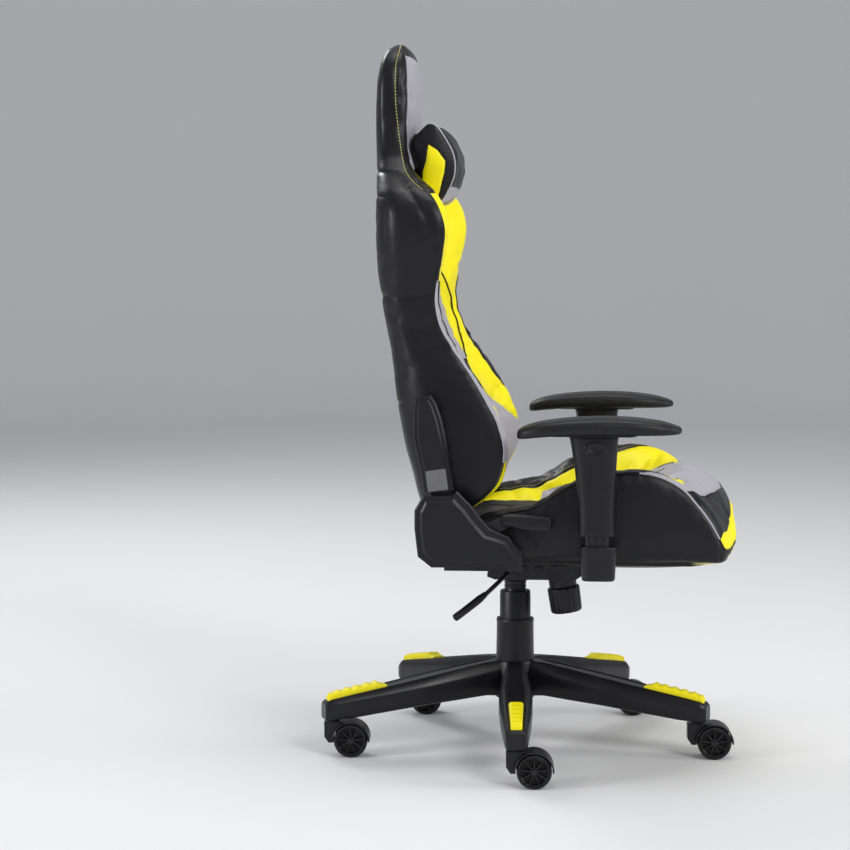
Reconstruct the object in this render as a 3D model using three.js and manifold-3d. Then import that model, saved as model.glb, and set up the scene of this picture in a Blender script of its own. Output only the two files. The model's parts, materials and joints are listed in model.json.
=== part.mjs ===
// A gaming chair: five-arm base on castors, gas lift, tilt mechanism, bucket seat and reclining back.
// Millimetres, +Z up. The chair faces +X and the sitter's left is +Y. The pieces are built around
// the gas lift's axis, and one group then moves them so that the box's bottom centre is the origin.
import * as THREE from 'three';
import { mergeVertices } from 'three/addons/utils/BufferGeometryUtils.js';
import Module from 'manifold-3d';

const wasm = await Module();
wasm.setup();

// Driving dimensions.
const BOX_CENTRE = { x: 25.6, y: -9.4 };
const GAP = 0.4;
const DEG = Math.PI / 180;

const ARMS = 5;
const BASE_TURN = 2.75 * DEG;
const HUB = { radius: 37, low: 88, high: 157 };
const STEM_REACH = 341;
const STEM = { radius: 5.5, top: 94 };
const CASTOR = { radius: 30, trail: 30, width: 20, inner: 4.5, axle: 4, hood: 34, hoodHalf: 25.5 };
const WHEEL_SIDES = 18;

const GAS_TUBE = { radius: 25, bore: 14.5, low: 70, high: 208, floor: 4 };
const GAS_CYLINDER = { radius: 14, low: 125, high: 336, bore: 6, boreTop: 300 };
const GAS_ROD = { radius: 4.5, high: 240 };
const GAS_PIN = { radius: 4, low: 324, high: 340 };
const COVER_LOWER = { foot: 34.5, top: 33.3, low: 157.5, high: 234, wall: 3, lip: 28.5 };
const COVER_MIDDLE = { radius: 28, inner: 25.5, low: 190, high: 285, lip: 20.5 };
const COVER_UPPER = { radius: 20, inner: 15, low: 250, high: 303.5 };

const HOUSING = { rear: -48, front: 122, half: 66, low: 313, high: 339, wall: 4, boss: 22 };
const TILT = { x: 45, z: 334, radius: 6, half: 79 };
const SEAT_PLATE = { rear: -95, front: 165, half: 84, low: 352, high: 356 };
const KNOB = { x: 84, z: 315, lean: 8.3 * DEG, towerRadius: 25, radius: 29.5, from: 23, to: 70 };
const LEVER = { x: -12, z: 327, rod: 4, grip: 6 };

const PIVOT = { x: -68, z: 413 };
const SHAFT = { radius: 6, half: 292 };
const PAN = { rear: -118, front: 352, half: 225, low: 363, high: 369.5 };
// Layers outside the cushions on each side, as distances from the chair's middle plane.
const LAYER = {
  seatPlate: [260, 265], backArm: [268, 274], lever: [278, 283], upper: [258.5, 291], lower: [293, 303],
};
const POST = { x: 145.7, y: 300 };

const COLOURS = {
  nylon: 0x141417, rubber: 0x0c0c0d, yellow: 0xffe600, leather: 0x121214, steel: 0x2a2a2d,
  chrome: 0xb8babd, plastic: 0x17171a,
};

// Shared helpers.
function matt(colour, roughness = 0.55, metalness = 0) {
  return new THREE.MeshStandardMaterial({ color: colour, roughness, metalness });
}

function piece(name, geometry, material) {
  const mesh = new THREE.Mesh(geometry, material);
  mesh.name = name;
  return mesh;
}

function toSolid(geometry) {
  const bare = geometry.clone();
  bare.deleteAttribute('normal');
  bare.deleteAttribute('uv');
  const merged = mergeVertices(bare, 1e-3);
  return new wasm.Manifold(new wasm.Mesh({
    numProp: 3,
    vertProperties: new Float32Array(merged.attributes.position.array),
    triVerts: new Uint32Array(merged.index.array),
  }));
}

function toGeometry(solid) {
  const mesh = solid.getMesh();
  const geometry = new THREE.BufferGeometry();
  geometry.setAttribute('position', new THREE.BufferAttribute(mesh.vertProperties, 3));
  geometry.setIndex(new THREE.BufferAttribute(mesh.triVerts, 1));
  geometry.computeVertexNormals();
  return geometry;
}

// Joins the first list of geometries and cuts the second list from them.
function shape(adds, cuts = []) {
  const joined = adds.map(toSolid).reduce((a, b) => a.add(b));
  return toGeometry(cuts.map(toSolid).reduce((a, b) => a.subtract(b), joined));
}

function block(x, y, z) {
  const geometry = new THREE.BoxGeometry(x[1] - x[0], y[1] - y[0], z[1] - z[0]);
  return geometry.translate((x[0] + x[1]) / 2, (y[0] + y[1]) / 2, (z[0] + z[1]) / 2);
}

function rod(radius, low, high, sides = 20, x = 0, y = 0) {
  const geometry = new THREE.CylinderGeometry(radius, radius, high - low, sides);
  return geometry.rotateX(Math.PI / 2).translate(x, y, (low + high) / 2);
}

function crossRod(radius, from, to, x, z, sides = 12) {
  const geometry = new THREE.CylinderGeometry(radius, radius, to - from, sides);
  return geometry.translate(x, (from + to) / 2, 0).translate(0, 0, z);
}

// A body of revolution about Z from a closed profile of [radius, height] points.
function turned(profile, sides = 24) {
  const points = profile.concat([profile[0]]).map(([r, z]) => new THREE.Vector2(r, z));
  return new THREE.LatheGeometry(points, sides).rotateX(Math.PI / 2);
}

// A flat plate in the XZ plane between two distances on the sitter's right.
function sidePlate(outline, [near, far]) {
  const plan = new THREE.Shape(outline.map(([x, z]) => new THREE.Vector2(x, z)));
  const geometry = new THREE.ExtrudeGeometry(plan, { depth: far - near, bevelEnabled: false });
  return geometry.rotateX(Math.PI / 2).translate(0, -near, 0);
}

// The same plate with a chamfer round its outer face.
function chamferedPlate(outline, [near, far], bevelThickness, bevelSize) {
  const plan = new THREE.Shape(outline.map(([x, z]) => new THREE.Vector2(x, z)));
  const outer = new THREE.ExtrudeGeometry(plan, {
    depth: 0.5, bevelEnabled: true, bevelThickness, bevelSize, bevelOffset: -bevelSize, bevelSegments: 1,
  }).rotateX(Math.PI / 2).translate(0, bevelThickness + 0.5 - far, 0);
  const inboard = block([-1000, 1000], [-near, 0], [0, 1000]);
  return shape([outer, sidePlate(outline, [near, far - bevelThickness])], [inboard]);
}

function sweep(points, radius, steps, sides = 10) {
  const path = new THREE.CatmullRomCurve3(points.map((p) => new THREE.Vector3(...p)));
  const section = new THREE.Shape();
  for (let i = 0; i < sides; i++) {
    const angle = (i / sides) * 2 * Math.PI;
    const at = [radius * Math.cos(angle), radius * Math.sin(angle)];
    if (i) section.lineTo(...at);
    else section.moveTo(...at);
  }
  return new THREE.ExtrudeGeometry(section, { steps, extrudePath: path, bevelEnabled: false });
}

// Skins a row of closed rings. `flat` gives a ring point's place in the ring's own plane, and the
// rings run anticlockwise as seen from the end that they advance towards.
function skin(rings, flat) {
  const count = rings[0].length;
  const faces = [];
  for (let r = 0; r + 1 < rings.length; r++) {
    for (let i = 0; i < count; i++) {
      const a = r * count + i;
      const b = r * count + ((i + 1) % count);
      faces.push(a, b, b + count, a, b + count, a + count);
    }
  }
  for (const r of [0, rings.length - 1]) {
    const plan = rings[r].map(flat);
    for (const [a, b, c] of THREE.ShapeUtils.triangulateShape(plan, [])) {
      const forward = THREE.ShapeUtils.area([plan[a], plan[b], plan[c]]) > 0;
      const keep = forward === (r > 0);
      faces.push(r * count + a, r * count + (keep ? b : c), r * count + (keep ? c : b));
    }
  }
  const geometry = new THREE.BufferGeometry();
  const positions = rings.flat().flatMap((p) => [p.x, p.y, p.z]);
  geometry.setAttribute('position', new THREE.Float32BufferAttribute(positions, 3));
  geometry.setIndex(faces);
  geometry.computeVertexNormals();
  return geometry;
}

// A half outline of [side, height] points from one middle point to the other, made whole.
function mirrored(half) {
  const back = half.slice(1, -1).reverse().map(([side, height]) => [-side, height]);
  return half.concat(back);
}

const mix = (a, b, t) => a + (b - a) * t;

function leftCopy(mesh, name) {
  const copy = new THREE.Mesh(mesh.geometry, mesh.material.clone());
  copy.name = name;
  copy.scale.y = -1;
  return copy;
}

// The star base.
// Rows: distance out, underside, shoulder height, top, half width of the top, half width of the shoulder.
const ARM_SECTIONS = [
  [14, 92, 142, 159.5, 11, 18], [60, 96, 138, 156.5, 14, 22], [110, 92, 131, 148, 17, 27],
  [170, 87, 122, 137, 20, 30], [250, 77, 110, 122, 18, 27], [310, 69, 101, 111, 15.5, 23],
  [350, 66, 95, 103, 13.5, 20], [361, 66, 90, 97, 11.5, 17.5],
];

function armBody() {
  const rings = ARM_SECTIONS.map(([x, low, shoulder, top, narrow, wide]) => mirrored([
    [0, low], [wide - 4, low], [wide, low + 6], [wide, shoulder], [narrow, top], [0, top],
  ]).map(([y, z]) => new THREE.Vector3(x, y, z)));
  return skin(rings, (p) => new THREE.Vector2(p.y, p.z));
}

function armAngle(i) {
  return (-90 + (360 / ARMS) * i) * DEG;
}

function starBase() {
  const adds = [rod(HUB.radius, HUB.low, HUB.high + 8)];
  const cuts = [rod(GAS_TUBE.radius + GAP, 0, 300), rod(36, HUB.high, 300)];
  for (let i = 0; i < ARMS; i++) {
    adds.push(armBody().rotateZ(armAngle(i)));
    cuts.push(rod(STEM.radius + GAP, 40, STEM.top + 1, 10, STEM_REACH, 0).rotateZ(armAngle(i)));
  }
  return piece('star_base', shape(adds, cuts), matt(COLOURS.nylon, 0.45));
}

// A ribbed pad that lies on an arm's sloping top.
const PAD_FROM = 246;
const PAD_TO = 354;
function footPad(i) {
  const armTop = (x) => {
    const k = ARM_SECTIONS.findIndex((row) => row[0] >= x);
    const [a, b] = [ARM_SECTIONS[k - 1], ARM_SECTIONS[k]];
    return mix(a[3], b[3], (x - a[0]) / (b[0] - a[0]));
  };
  const rings = [];
  const steps = 12;
  for (let k = 0; k <= steps; k++) {
    const t = k / steps;
    const x = mix(PAD_FROM, PAD_TO, t);
    const rise = Math.min(1, t / 0.2, (1 - t) / 0.06 + 0.25);
    const height = 1.2 + rise * (8.5 + 1.1 * Math.cos(t * 12 * Math.PI));
    const low = armTop(x) + 2 * GAP;
    const half = mix(13.6, 10.4, t);
    rings.push(mirrored([
      [0, low], [half, low], [half * 0.92, low + height * 0.8], [half * 0.7, low + height],
      [0, low + height],
    ]).map(([y, z]) => new THREE.Vector3(x, y, z)));
  }
  const geometry = skin(rings, (p) => new THREE.Vector2(p.y, p.z)).rotateZ(armAngle(i));
  return piece(`foot_pad_${i + 1}`, geometry, matt(COLOURS.yellow, 0.5));
}

// One castor, built around its stem with the wheels trailing towards +X.
function castorHood() {
  const { radius, trail, inner, hood, hoodHalf, axle } = CASTOR;
  const web = crossRod(radius - 3, -inner + 1, inner - 1, trail, radius, 18);
  const shell = crossRod(hood, -hoodHalf, hoodHalf, trail, radius, 24);
  const neck = sidePlate([
    [-18, 62.5], [-18, 36], [-11, 25], [3, 22], [14, 40], [24, 62.5],
  ], [-12, 12]);
  const wheelRoom = crossRod(hood - 2.6, -40, 40, trail, radius, 24);
  const below = block([-10, 80], [-40, 40], [-10, radius - 2]);
  const outer = shape([shell], [below, wheelRoom]);
  const neckCut = shape([neck], [
    crossRod(hood - 2.6, -40, -inner + 1, trail, radius, 24),
    crossRod(hood - 2.6, inner - 1, 40, trail, radius, 24),
  ]);
  const spine = sidePlate([[2, 30], [trail, radius - 10], [58, 34], [trail, 62.5], [4, 60]],
    [-inner + 1, inner - 1]);
  const stem = rod(STEM.radius, 58, STEM.top, 10);
  return shape([outer, neckCut, spine, web, stem], [crossRod(axle + GAP, -10, 10, trail, radius, 10)]);
}

function castorWheel(side) {
  const { radius, width, inner, axle } = CASTOR;
  const out = 1 / Math.cos(Math.PI / WHEEL_SIDES);
  const profile = [[axle + GAP, 0], [radius - 1.5, 0], [radius, 2], [radius, 17], [27, width], [20, 16.5],
    [axle + GAP, 16.5]];
  const points = profile.concat([profile[0]]).map(([r, y]) => new THREE.Vector2(r * out, y));
  const wheel = new THREE.LatheGeometry(points, WHEEL_SIDES, Math.PI / WHEEL_SIDES);
  if (side < 0) wheel.rotateX(Math.PI);
  return wheel.translate(0, side * inner, 0);
}

function castors() {
  const parts = [];
  for (let i = 0; i < ARMS; i++) {
    const angle = armAngle(i);
    const place = new THREE.Group();
    place.position.set(STEM_REACH * Math.cos(angle), STEM_REACH * Math.sin(angle), 0);
    const wheelAt = { x: CASTOR.trail, z: CASTOR.radius };
    place.add(piece(`castor_hood_${i + 1}`, castorHood(), matt(COLOURS.nylon, 0.4)));
    place.add(piece(`castor_axle_${i + 1}`,
      crossRod(CASTOR.axle, -21, 21, wheelAt.x, wheelAt.z, 10), matt(COLOURS.chrome, 0.3, 1)));
    for (const [side, word] of [[-1, 'right'], [1, 'left']]) {
      const wheel = piece(`castor_wheel_${word}_${i + 1}`, castorWheel(side), matt(COLOURS.rubber, 0.5));
      wheel.position.set(wheelAt.x, 0, wheelAt.z);
      place.add(wheel);
    }
    parts.push(place);
  }
  return parts;
}

// The gas lift and its telescopic cover.
function gasLift() {
  const cylinder = shape([rod(GAS_CYLINDER.radius, GAS_CYLINDER.low, GAS_CYLINDER.high)], [
    rod(GAS_CYLINDER.bore, 0, GAS_CYLINDER.boreTop, 12),
    rod(GAS_PIN.radius + GAP, GAS_PIN.low - 4, 400, 12),
  ]);
  const steel = matt(COLOURS.steel, 0.35, 0.8);
  return [
    piece('gas_spring_tube', shape([rod(GAS_TUBE.radius, GAS_TUBE.low, GAS_TUBE.high)],
      [rod(GAS_TUBE.bore, GAS_TUBE.low + GAS_TUBE.floor, 400)]), steel),
    piece('gas_piston_rod', rod(GAS_ROD.radius, GAS_TUBE.low + GAS_TUBE.floor + GAP, GAS_ROD.high, 12),
      matt(COLOURS.chrome, 0.2, 1)),
    piece('gas_cylinder', cylinder, matt(COLOURS.chrome, 0.25, 1)),
    piece('gas_release_pin', rod(GAS_PIN.radius, GAS_PIN.low, GAS_PIN.high, 12),
      matt(COLOURS.chrome, 0.3, 1)),
  ];
}

function columnCovers() {
  const { foot, top, low, high, wall, lip } = COVER_LOWER;
  const lower = turned([
    [foot, low], [top, high - 2], [top - 1.5, high], [lip, high], [lip, high - 4], [top - wall, high - 4],
    [foot - wall, low],
  ]);
  const m = COVER_MIDDLE;
  const middle = turned([
    [m.radius, m.low], [m.radius - 0.6, m.high - 2], [m.radius - 2.5, m.high], [m.lip, m.high],
    [m.lip, m.high - 4], [m.inner, m.high - 4], [m.inner, m.low],
  ]);
  const u = COVER_UPPER;
  const upper = turned([[u.radius, u.low], [u.radius, u.high], [u.inner, u.high], [u.inner, u.low]]);
  return [
    piece('column_cover_lower', lower, matt(COLOURS.plastic, 0.5)),
    piece('column_cover_middle', middle, matt(COLOURS.plastic, 0.5)),
    piece('column_cover_upper', upper, matt(COLOURS.plastic, 0.5)),
  ];
}

// The tilt mechanism under the seat.
function leaning(geometry) {
  return geometry.rotateY(-KNOB.lean).translate(KNOB.x, 0, KNOB.z);
}

function mechanism() {
  const h = HOUSING;
  const body = sidePlate([
    [h.rear, h.low + 5], [h.rear + 14, h.low],
    [h.front - 12, h.low], [h.front, h.low + 8], [h.front, h.high],
    [-12, h.high], [h.rear, h.low + 11],
  ], [-h.half, h.half]);
  const room = sidePlate([
    [h.rear + h.wall, h.low + 8], [h.rear + 16, h.low + h.wall], [h.front - h.wall, h.low + h.wall],
    [h.front - h.wall, h.high + 9], [h.rear + h.wall, h.high + 9],
  ], [-h.half + h.wall, h.half - h.wall]);
  const neck = turned([[10, h.low + 2], [24, 304], [31, h.low + 1], [31, h.low + 3.5]]);
  const tower = leaning(rod(KNOB.towerRadius, -KNOB.from + 0.5, 2));
  const housing = shape([
    shape([body], [room]), neck, rod(h.boss, h.low + 1, 335), tower,
  ], [
    rod(GAS_CYLINDER.radius + 0.3, 0, 400),
    crossRod(TILT.radius + GAP, -90, 90, TILT.x, TILT.z),
    crossRod(LEVER.rod + 1, -90, -h.boss, LEVER.x, LEVER.z),
    leaning(rod(6, -60, 12, 12)),
  ]);
  const ear = sidePlate([
    [TILT.x - 14, 320], [TILT.x + 14, 320], [TILT.x + 24, 353], [TILT.x - 24, 353],
  ], [70, 75]);
  const plate = block([SEAT_PLATE.rear, SEAT_PLATE.front], [-SEAT_PLATE.half, SEAT_PLATE.half],
    [SEAT_PLATE.low, SEAT_PLATE.high]);
  const seatPlate = shape([plate, ear, ear.clone().translate(0, 145, 0)],
    [crossRod(TILT.radius + GAP, -90, 90, TILT.x, TILT.z)]);
  const dark = matt(COLOURS.steel, 0.5, 0.7);
  return [
    piece('mechanism_housing', housing, dark),
    piece('tilt_axle', crossRod(TILT.radius, -TILT.half, TILT.half, TILT.x, TILT.z),
      matt(COLOURS.chrome, 0.3, 1)),
    piece('seat_plate', seatPlate, dark.clone()),
  ];
}

function tensionKnob() {
  const flutes = 12;
  const cuts = [];
  for (let i = 0; i < flutes; i++) {
    const angle = ((i + 0.5) / flutes) * 2 * Math.PI;
    const reach = KNOB.radius + 3.5;
    cuts.push(rod(5, -90, -KNOB.from - 8, 8, reach * Math.cos(angle), reach * Math.sin(angle)));
  }
  const body = shape([
    rod(KNOB.radius, -KNOB.to, -KNOB.from, 36), rod(5.4, -KNOB.from - 2, 8, 12),
  ], cuts);
  return piece('tension_knob', leaning(body), matt(COLOURS.plastic, 0.55));
}

function releaseLever() {
  const path = [
    [LEVER.x, -28, LEVER.z], [LEVER.x, -60, LEVER.z], [LEVER.x, -92, LEVER.z], [-17, -116, 324],
    [-31, -134, 312], [-46, -147, 299],
  ];
  const grip = [[-47, -148, 298.2], [-60, -159, 289], [-80, -176, 275], [-99, -192, 262]];
  return [
    piece('lever_rod', sweep(path, LEVER.rod, 14, 8), matt(COLOURS.steel, 0.35, 0.9)),
    piece('lever_grip', sweep(grip, LEVER.grip, 6, 10), matt(COLOURS.plastic, 0.6)),
  ];
}

// The seat.
// Rows: distance forward, underside, side seam, bolster crest, middle, half width, half width of the well.
const SEAT_SECTIONS = [
  [-128, 377, 390, 392, 394, 226, 138], [-118, 371, 408, 411, 412, 236, 142],
  [-98, 370, 426, 428, 425, 243, 145],
  [-53, 370, 454, 457, 433, 250, 148], [0, 370, 466, 470, 431, 255, 150],
  [40, 370, 475, 480, 432, 256, 152],
  [62, 370, 487, 491, 434, 257, 152], [90, 370, 505, 509, 438, 257, 152],
  [125, 370, 520, 525, 446, 258, 152],
  [186, 370, 532, 537, 466, 258, 152], [224, 370, 532, 537, 481, 258, 150],
  [258, 370, 523, 530, 497, 258, 148],
  [283, 370, 512, 522, 509, 257, 146], [302, 370, 499, 512, 515, 257, 144],
  [320, 370, 481, 499, 517, 255, 142],
  [337, 370, 459, 484, 512, 252, 140], [351, 370, 436, 466, 503, 249, 138],
  [363, 371, 413, 446, 490, 244, 136],
  [375, 373, 405, 432, 473, 232, 132], [387, 379, 402, 418, 450, 212, 126],
  [395, 389, 401, 408, 428, 186, 118],
];

function seatCushion() {
  const rings = SEAT_SECTIONS.map(([x, low, side, crest, middle, half, well]) => mirrored([
    [0, low], [half * 0.9, low], [half * 0.98, low + (side - low) * 0.07], [half, mix(low, side, 0.3)],
    [half, mix(low, side, 0.85)], [half * 0.99, side], [half * 0.915, crest],
    [half * 0.82, mix(crest, middle, 0.12)], [mix(half * 0.82, well, 0.6), mix(crest, middle, 0.7)],
    [well, middle + 2], [well * 0.5, middle], [0, middle],
  ]).map(([y, z]) => new THREE.Vector3(x, y, z)));
  const body = skin(rings, (p) => new THREE.Vector2(p.y, p.z));
  const tunnel = crossRod(SHAFT.radius + 3, -300, 300, PIVOT.x, PIVOT.z, 12);
  return piece('seat_cushion', shape([body], [tunnel]), matt(COLOURS.leather, 0.5));
}

function seatPan() {
  const c = 40;
  const { rear, front, half, low, high } = PAN;
  const plan = new THREE.Shape([
    [rear, -half + c], [rear + c, -half], [front - c, -half], [front, -half + c], [front, half - c],
    [front - c, half], [rear + c, half], [rear, half - c],
  ].map(([x, y]) => new THREE.Vector2(x, y)));
  const plate = new THREE.ExtrudeGeometry(plan, { depth: high - low, bevelEnabled: false })
    .translate(0, 0, low);
  return piece('seat_pan', plate, matt(COLOURS.steel, 0.6, 0.5));
}

// The recliner and its covers, on the sitter's right.
function seatHingePlate() {
  const outline = [
    [-112, 357], [22, 357], [22, 392], [-28, 430], [-50, 441], [-78, 443], [-98, 428], [-112, 396],
  ];
  const foot = block([-95, -25], [-266, -165], [357, 362.4]);
  const trimmed = block([-95, -25], [-275, -265], [350, 370]);
  return shape([sidePlate(outline, LAYER.seatPlate), foot], [
    trimmed, crossRod(SHAFT.radius + GAP, -300, 300, PIVOT.x, PIVOT.z),
  ]);
}

const LOWER_COVER = [
  [-131.5, 366.5], [15.5, 368], [24, 381], [1.5, 420], [-31.5, 434], [-48, 452.5], [-65, 475], [-88, 498],
  [-98, 489], [-147, 489], [-160.5, 465], [-160.5, 433], [-155, 385],
];
function lowerCover() {
  const face = chamferedPlate(LOWER_COVER, LAYER.lower, 7, 12);
  const floor = block([-118, 12], [-296, -266], [371, 375]);
  const rib = block([0, 6], [-296, -266], [371, 392]);
  return shape([face, floor, rib]);
}

const UPPER_COVER = [
  [-161, 655], [-163.5, 634], [-164, 588], [-152, 532],
  [-145.5, 493], [-94, 497.5], [-101, 543], [-108, 588],
  [-115, 619], [-124, 646], [-133.5, 661],
].reverse();
const BACK_ARM = [
  [-86, 392], [-52, 390], [-42, 412], [-52, 436], [-84, 452],
  [-102, 500], [-110, 552], [-120, 612], [-136, 646],
  [-152, 642], [-154, 600], [-144, 536], [-136, 497], [-104, 420],
];
function upperCover() {
  const room = sidePlate(BACK_ARM, [LAYER.upper[0] - 1, LAYER.backArm[1] + 1]);
  const wider = [[1.4, 0], [-1.4, 0], [0, 1.4],
    [0, -60]].map(([dx, dz]) => room.clone().translate(dx, 0, dz));
  return shape([chamferedPlate(UPPER_COVER, LAYER.upper, 8, 9)], [room, ...wider]);
}

function reclineLever() {
  const arm = sidePlate([
    [-82, 398], [-60, 395], [-4, 434], [4, 438], [4, 452], [-14, 452], [-60, 432], [-82, 424],
  ], LAYER.lever);
  const handle = chamferedPlate([
    [-13, 436], [5, 436], [20, 431], [66, 428], [74, 433], [71, 453], [5, 457], [-13, 455],
  ], [262, 290], 3, 3);
  return shape([arm, handle], [crossRod(SHAFT.radius + GAP, -300, -260, PIVOT.x, PIVOT.z)]);
}

// The back.
// Rows: height, rear, side seam, bolster crest, middle, half width, half width of the well.
const BACK_SECTIONS = [
  [455, -150, -90, -88, -98, 238, 118],
  [467, -154, -63, -61, -97, 249, 121], [485, -160, -39, -35, -96, 254, 124],
  [505, -166, -22, -17, -94, 255, 126],
  [530, -173, -12, -7, -92, 255, 128], [560, -182, -8, -4, -90, 255, 130],
  [606, -191, -18, -13, -92, 255, 130],
  [648, -198, -39, -33, -98, 254, 130], [698, -203, -69, -62, -110, 251, 132],
  [743, -209, -100, -91, -124, 247, 136], [783, -216, -121, -112, -138, 247, 142],
  [819, -222, -127, -118, -148, 250, 148], [869, -229, -121, -112, -156, 258, 152],
  [905, -231, -114, -106, -161, 266, 152], [945, -232, -111, -104, -165, 271, 148],
  [975, -232, -120, -110, -168, 268, 142], [1000, -232, -135, -125, -170, 254, 132],
  [1022, -233, -163, -150, -172, 226, 118], [1045, -236, -182, -172, -173, 188, 104],
  [1068, -239, -190, -183, -173, 163, 95], [1110, -242, -196, -186, -171, 152, 92],
  [1163, -243, -201, -184, -169, 153, 92], [1206, -241, -203, -184, -170, 150, 90],
  [1235, -236, -202, -186, -173, 140, 84], [1254, -228, -199, -190, -181, 122, 74],
  [1266, -217, -200, -197, -192, 92, 58], [1272, -210, -204, -203, -202, 52, 34],
];
const FRAME_TUBE = 9;
// The hoop's path up the right upright, as [distance from the middle, forward, height] points.
const HOOP = [[190, -134, 560], [190, -150, 640], [188, -168, 740], [184, -188, 850], [176, -200, 930],
  [150, -204, 985], [110, -206, 1015], [60, -207, 1024], [0, -207, 1026]];

function backFrameParts(extra) {
  const tube = FRAME_TUBE + extra;
  const right = HOOP.map(([y, x, z]) => [x, -y, z]);
  const left = HOOP.slice(0, -1).reverse().map(([y, x, z]) => [x, y, z]);
  return [
    sweep(right.concat(left), tube, 26, 6),
    crossRod(tube + 1, -LAYER.backArm[1] + 1 - extra, LAYER.backArm[1] - 1 + extra, -134, 560, 8),
    crossRod(tube, -LAYER.backArm[1] + 1 - extra, LAYER.backArm[1] - 1 + extra, -143, 622, 8),
  ];
}

function backFrame() {
  const plates = [-1, 1].map((side) => {
    const plate = sidePlate(BACK_ARM, LAYER.backArm);
    return side < 0 ? plate : plate.translate(0, LAYER.backArm[0] + LAYER.backArm[1], 0);
  });
  const holes = crossRod(SHAFT.radius + GAP, -300, 300, PIVOT.x, PIVOT.z);
  return piece('back_frame', shape([...plates, ...backFrameParts(0)],
  [holes]), matt(COLOURS.steel, 0.6, 0.7));
}

function backCushion() {
  const rings = BACK_SECTIONS.map(([z, rear, side, crest, middle, half, well]) => mirrored([
    [0, rear], [half * 0.55, rear + 1],
    [half * 0.9, mix(rear, side, 0.06)], [half * 0.98, mix(rear, side, 0.24)],
    [half, mix(rear, side, 0.6)], [half * 0.99, side],
    [half * 0.92, crest], [half * 0.83, mix(crest, middle, 0.12)],
    [mix(half * 0.83, well, 0.6), mix(crest, middle, 0.7)], [well, mix(crest, middle, 0.97)],
    [well * 0.5, middle], [0, middle],
  ]).map(([y, x]) => new THREE.Vector3(x, -y, z)));
  const body = skin(rings, (p) => new THREE.Vector2(p.x, p.y));
  return piece('back_cushion', shape([body], backFrameParts(0.8)), matt(COLOURS.leather, 0.5));
}

// The head pillow: two rounded ears joined by a waist.
const PILLOW = { x: -163, half: 132, z: 1055, tall: 74, waist: 0.2 };
function headPillow() {
  const rows = [[0, 0.80], [10, 0.93], [26, 1], [44, 0.94], [55, 0.76], [60, 0.52]];
  const sides = 20;
  const rings = rows.map(([out, grow]) => {
    const ring = [];
    for (let i = 0; i < sides; i++) {
      const angle = (i / sides) * 2 * Math.PI;
      const y = Math.sign(Math.cos(angle)) * Math.abs(Math.cos(angle)) ** 0.7 * PILLOW.half;
      const pinch = 1 - PILLOW.waist * Math.exp(-((y / 55) ** 2));
      const z = Math.sign(Math.sin(angle)) * Math.abs(Math.sin(angle)) ** 0.7 * PILLOW.tall * pinch;
      ring.push(new THREE.Vector3(PILLOW.x + out, y * mix(1, grow, 0.7), PILLOW.z + z * grow));
    }
    return ring;
  });
  return piece('head_pillow', skin(rings, (p) => new THREE.Vector2(p.y, p.z)), matt(COLOURS.leather, 0.6));
}

// The armrest on the sitter's right.
function armrestBracket() {
  const { x, y } = POST;
  const bar = block([x - 23, x + 23], [-y + 10, -60], [357, 362.4]);
  const cup = chamferedPlate([[-22, 349], [36, 349], [38, 353], [38, 407], [-24, 407], [-24, 353]]
    .map(([dx, z]) => [x + dx, z]), [y - 21, y + 22], 3, 3);
  const post = block([x - 16, x + 25], [-y - 12, -y + 12], [400, 565]);
  return shape([bar, cup, post]);
}

function armrestSleeve() {
  const { x, y } = POST;
  const rows = [[425, -26, 33, 19], [480, -28, 34, 19.5], [540, -34, 36, 20], [584, -41, 38.5, 21],
    [594, -43, 40, 22]];
  const rings = rows.map(([z, rear, front, half]) => [
    [rear, -half + 6], [rear + 6, -half], [front - 6, -half], [front, -half + 6], [front, half - 6],
    [front - 6, half], [rear + 6, half], [rear, half - 6],
  ].map(([dx, dy]) => new THREE.Vector3(x + dx, -y + dy, z)));
  const body = skin(rings, (p) => new THREE.Vector2(p.x, p.y));
  const room = block([x - 18, x + 27], [-y - 13.5, -y + 13.5], [400, 588]);
  const recess = buttonSolid(18, [y + 15.2, y + 40]);
  return shape([body], [room, recess]);
}

function buttonSolid(half, layer) {
  const outline = [];
  for (let i = 0; i < 16; i++) {
    const angle = (i / 16) * 2 * Math.PI;
    outline.push([POST.x + 1 + half * Math.cos(angle), 575 + 0.55 * half * Math.sin(angle)]);
  }
  return sidePlate(outline, layer);
}

function armrestPad() {
  const rows = [[15, 590, 602, 16], [24, 590, 609, 31], [45, 592, 616, 41], [80, 594, 622, 46],
    [130, 597, 626.5, 47.5], [180, 597, 627, 47.5], [230, 597, 623.5, 46], [265, 597.5, 618, 39],
    [283, 599, 612.5, 28], [291, 601, 609, 15]];
  const rings = rows.map(([x, low, top, half]) => mirrored([
    [0, low], [half * 0.8, low], [half, mix(low, top, 0.35)], [half * 0.96, mix(low, top, 0.7)],
    [half * 0.75, mix(low, top, 0.95)], [0, top],
  ]).map(([y, z]) => new THREE.Vector3(x, y - POST.y, z)));
  return skin(rings, (p) => new THREE.Vector2(p.y, p.z));
}

function pair(name, geometry, material) {
  const right = piece(`${name}_right`, geometry, material);
  return [right, leftCopy(right, `${name}_left`)];
}

const chair = new THREE.Group();
chair.name = 'gaming_chair';
chair.position.set(-BOX_CENTRE.x, -BOX_CENTRE.y, 0);

const base = new THREE.Group();
base.rotation.z = BASE_TURN;
base.add(starBase(), ...castors());
for (let i = 0; i < ARMS; i++) base.add(footPad(i));

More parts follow.
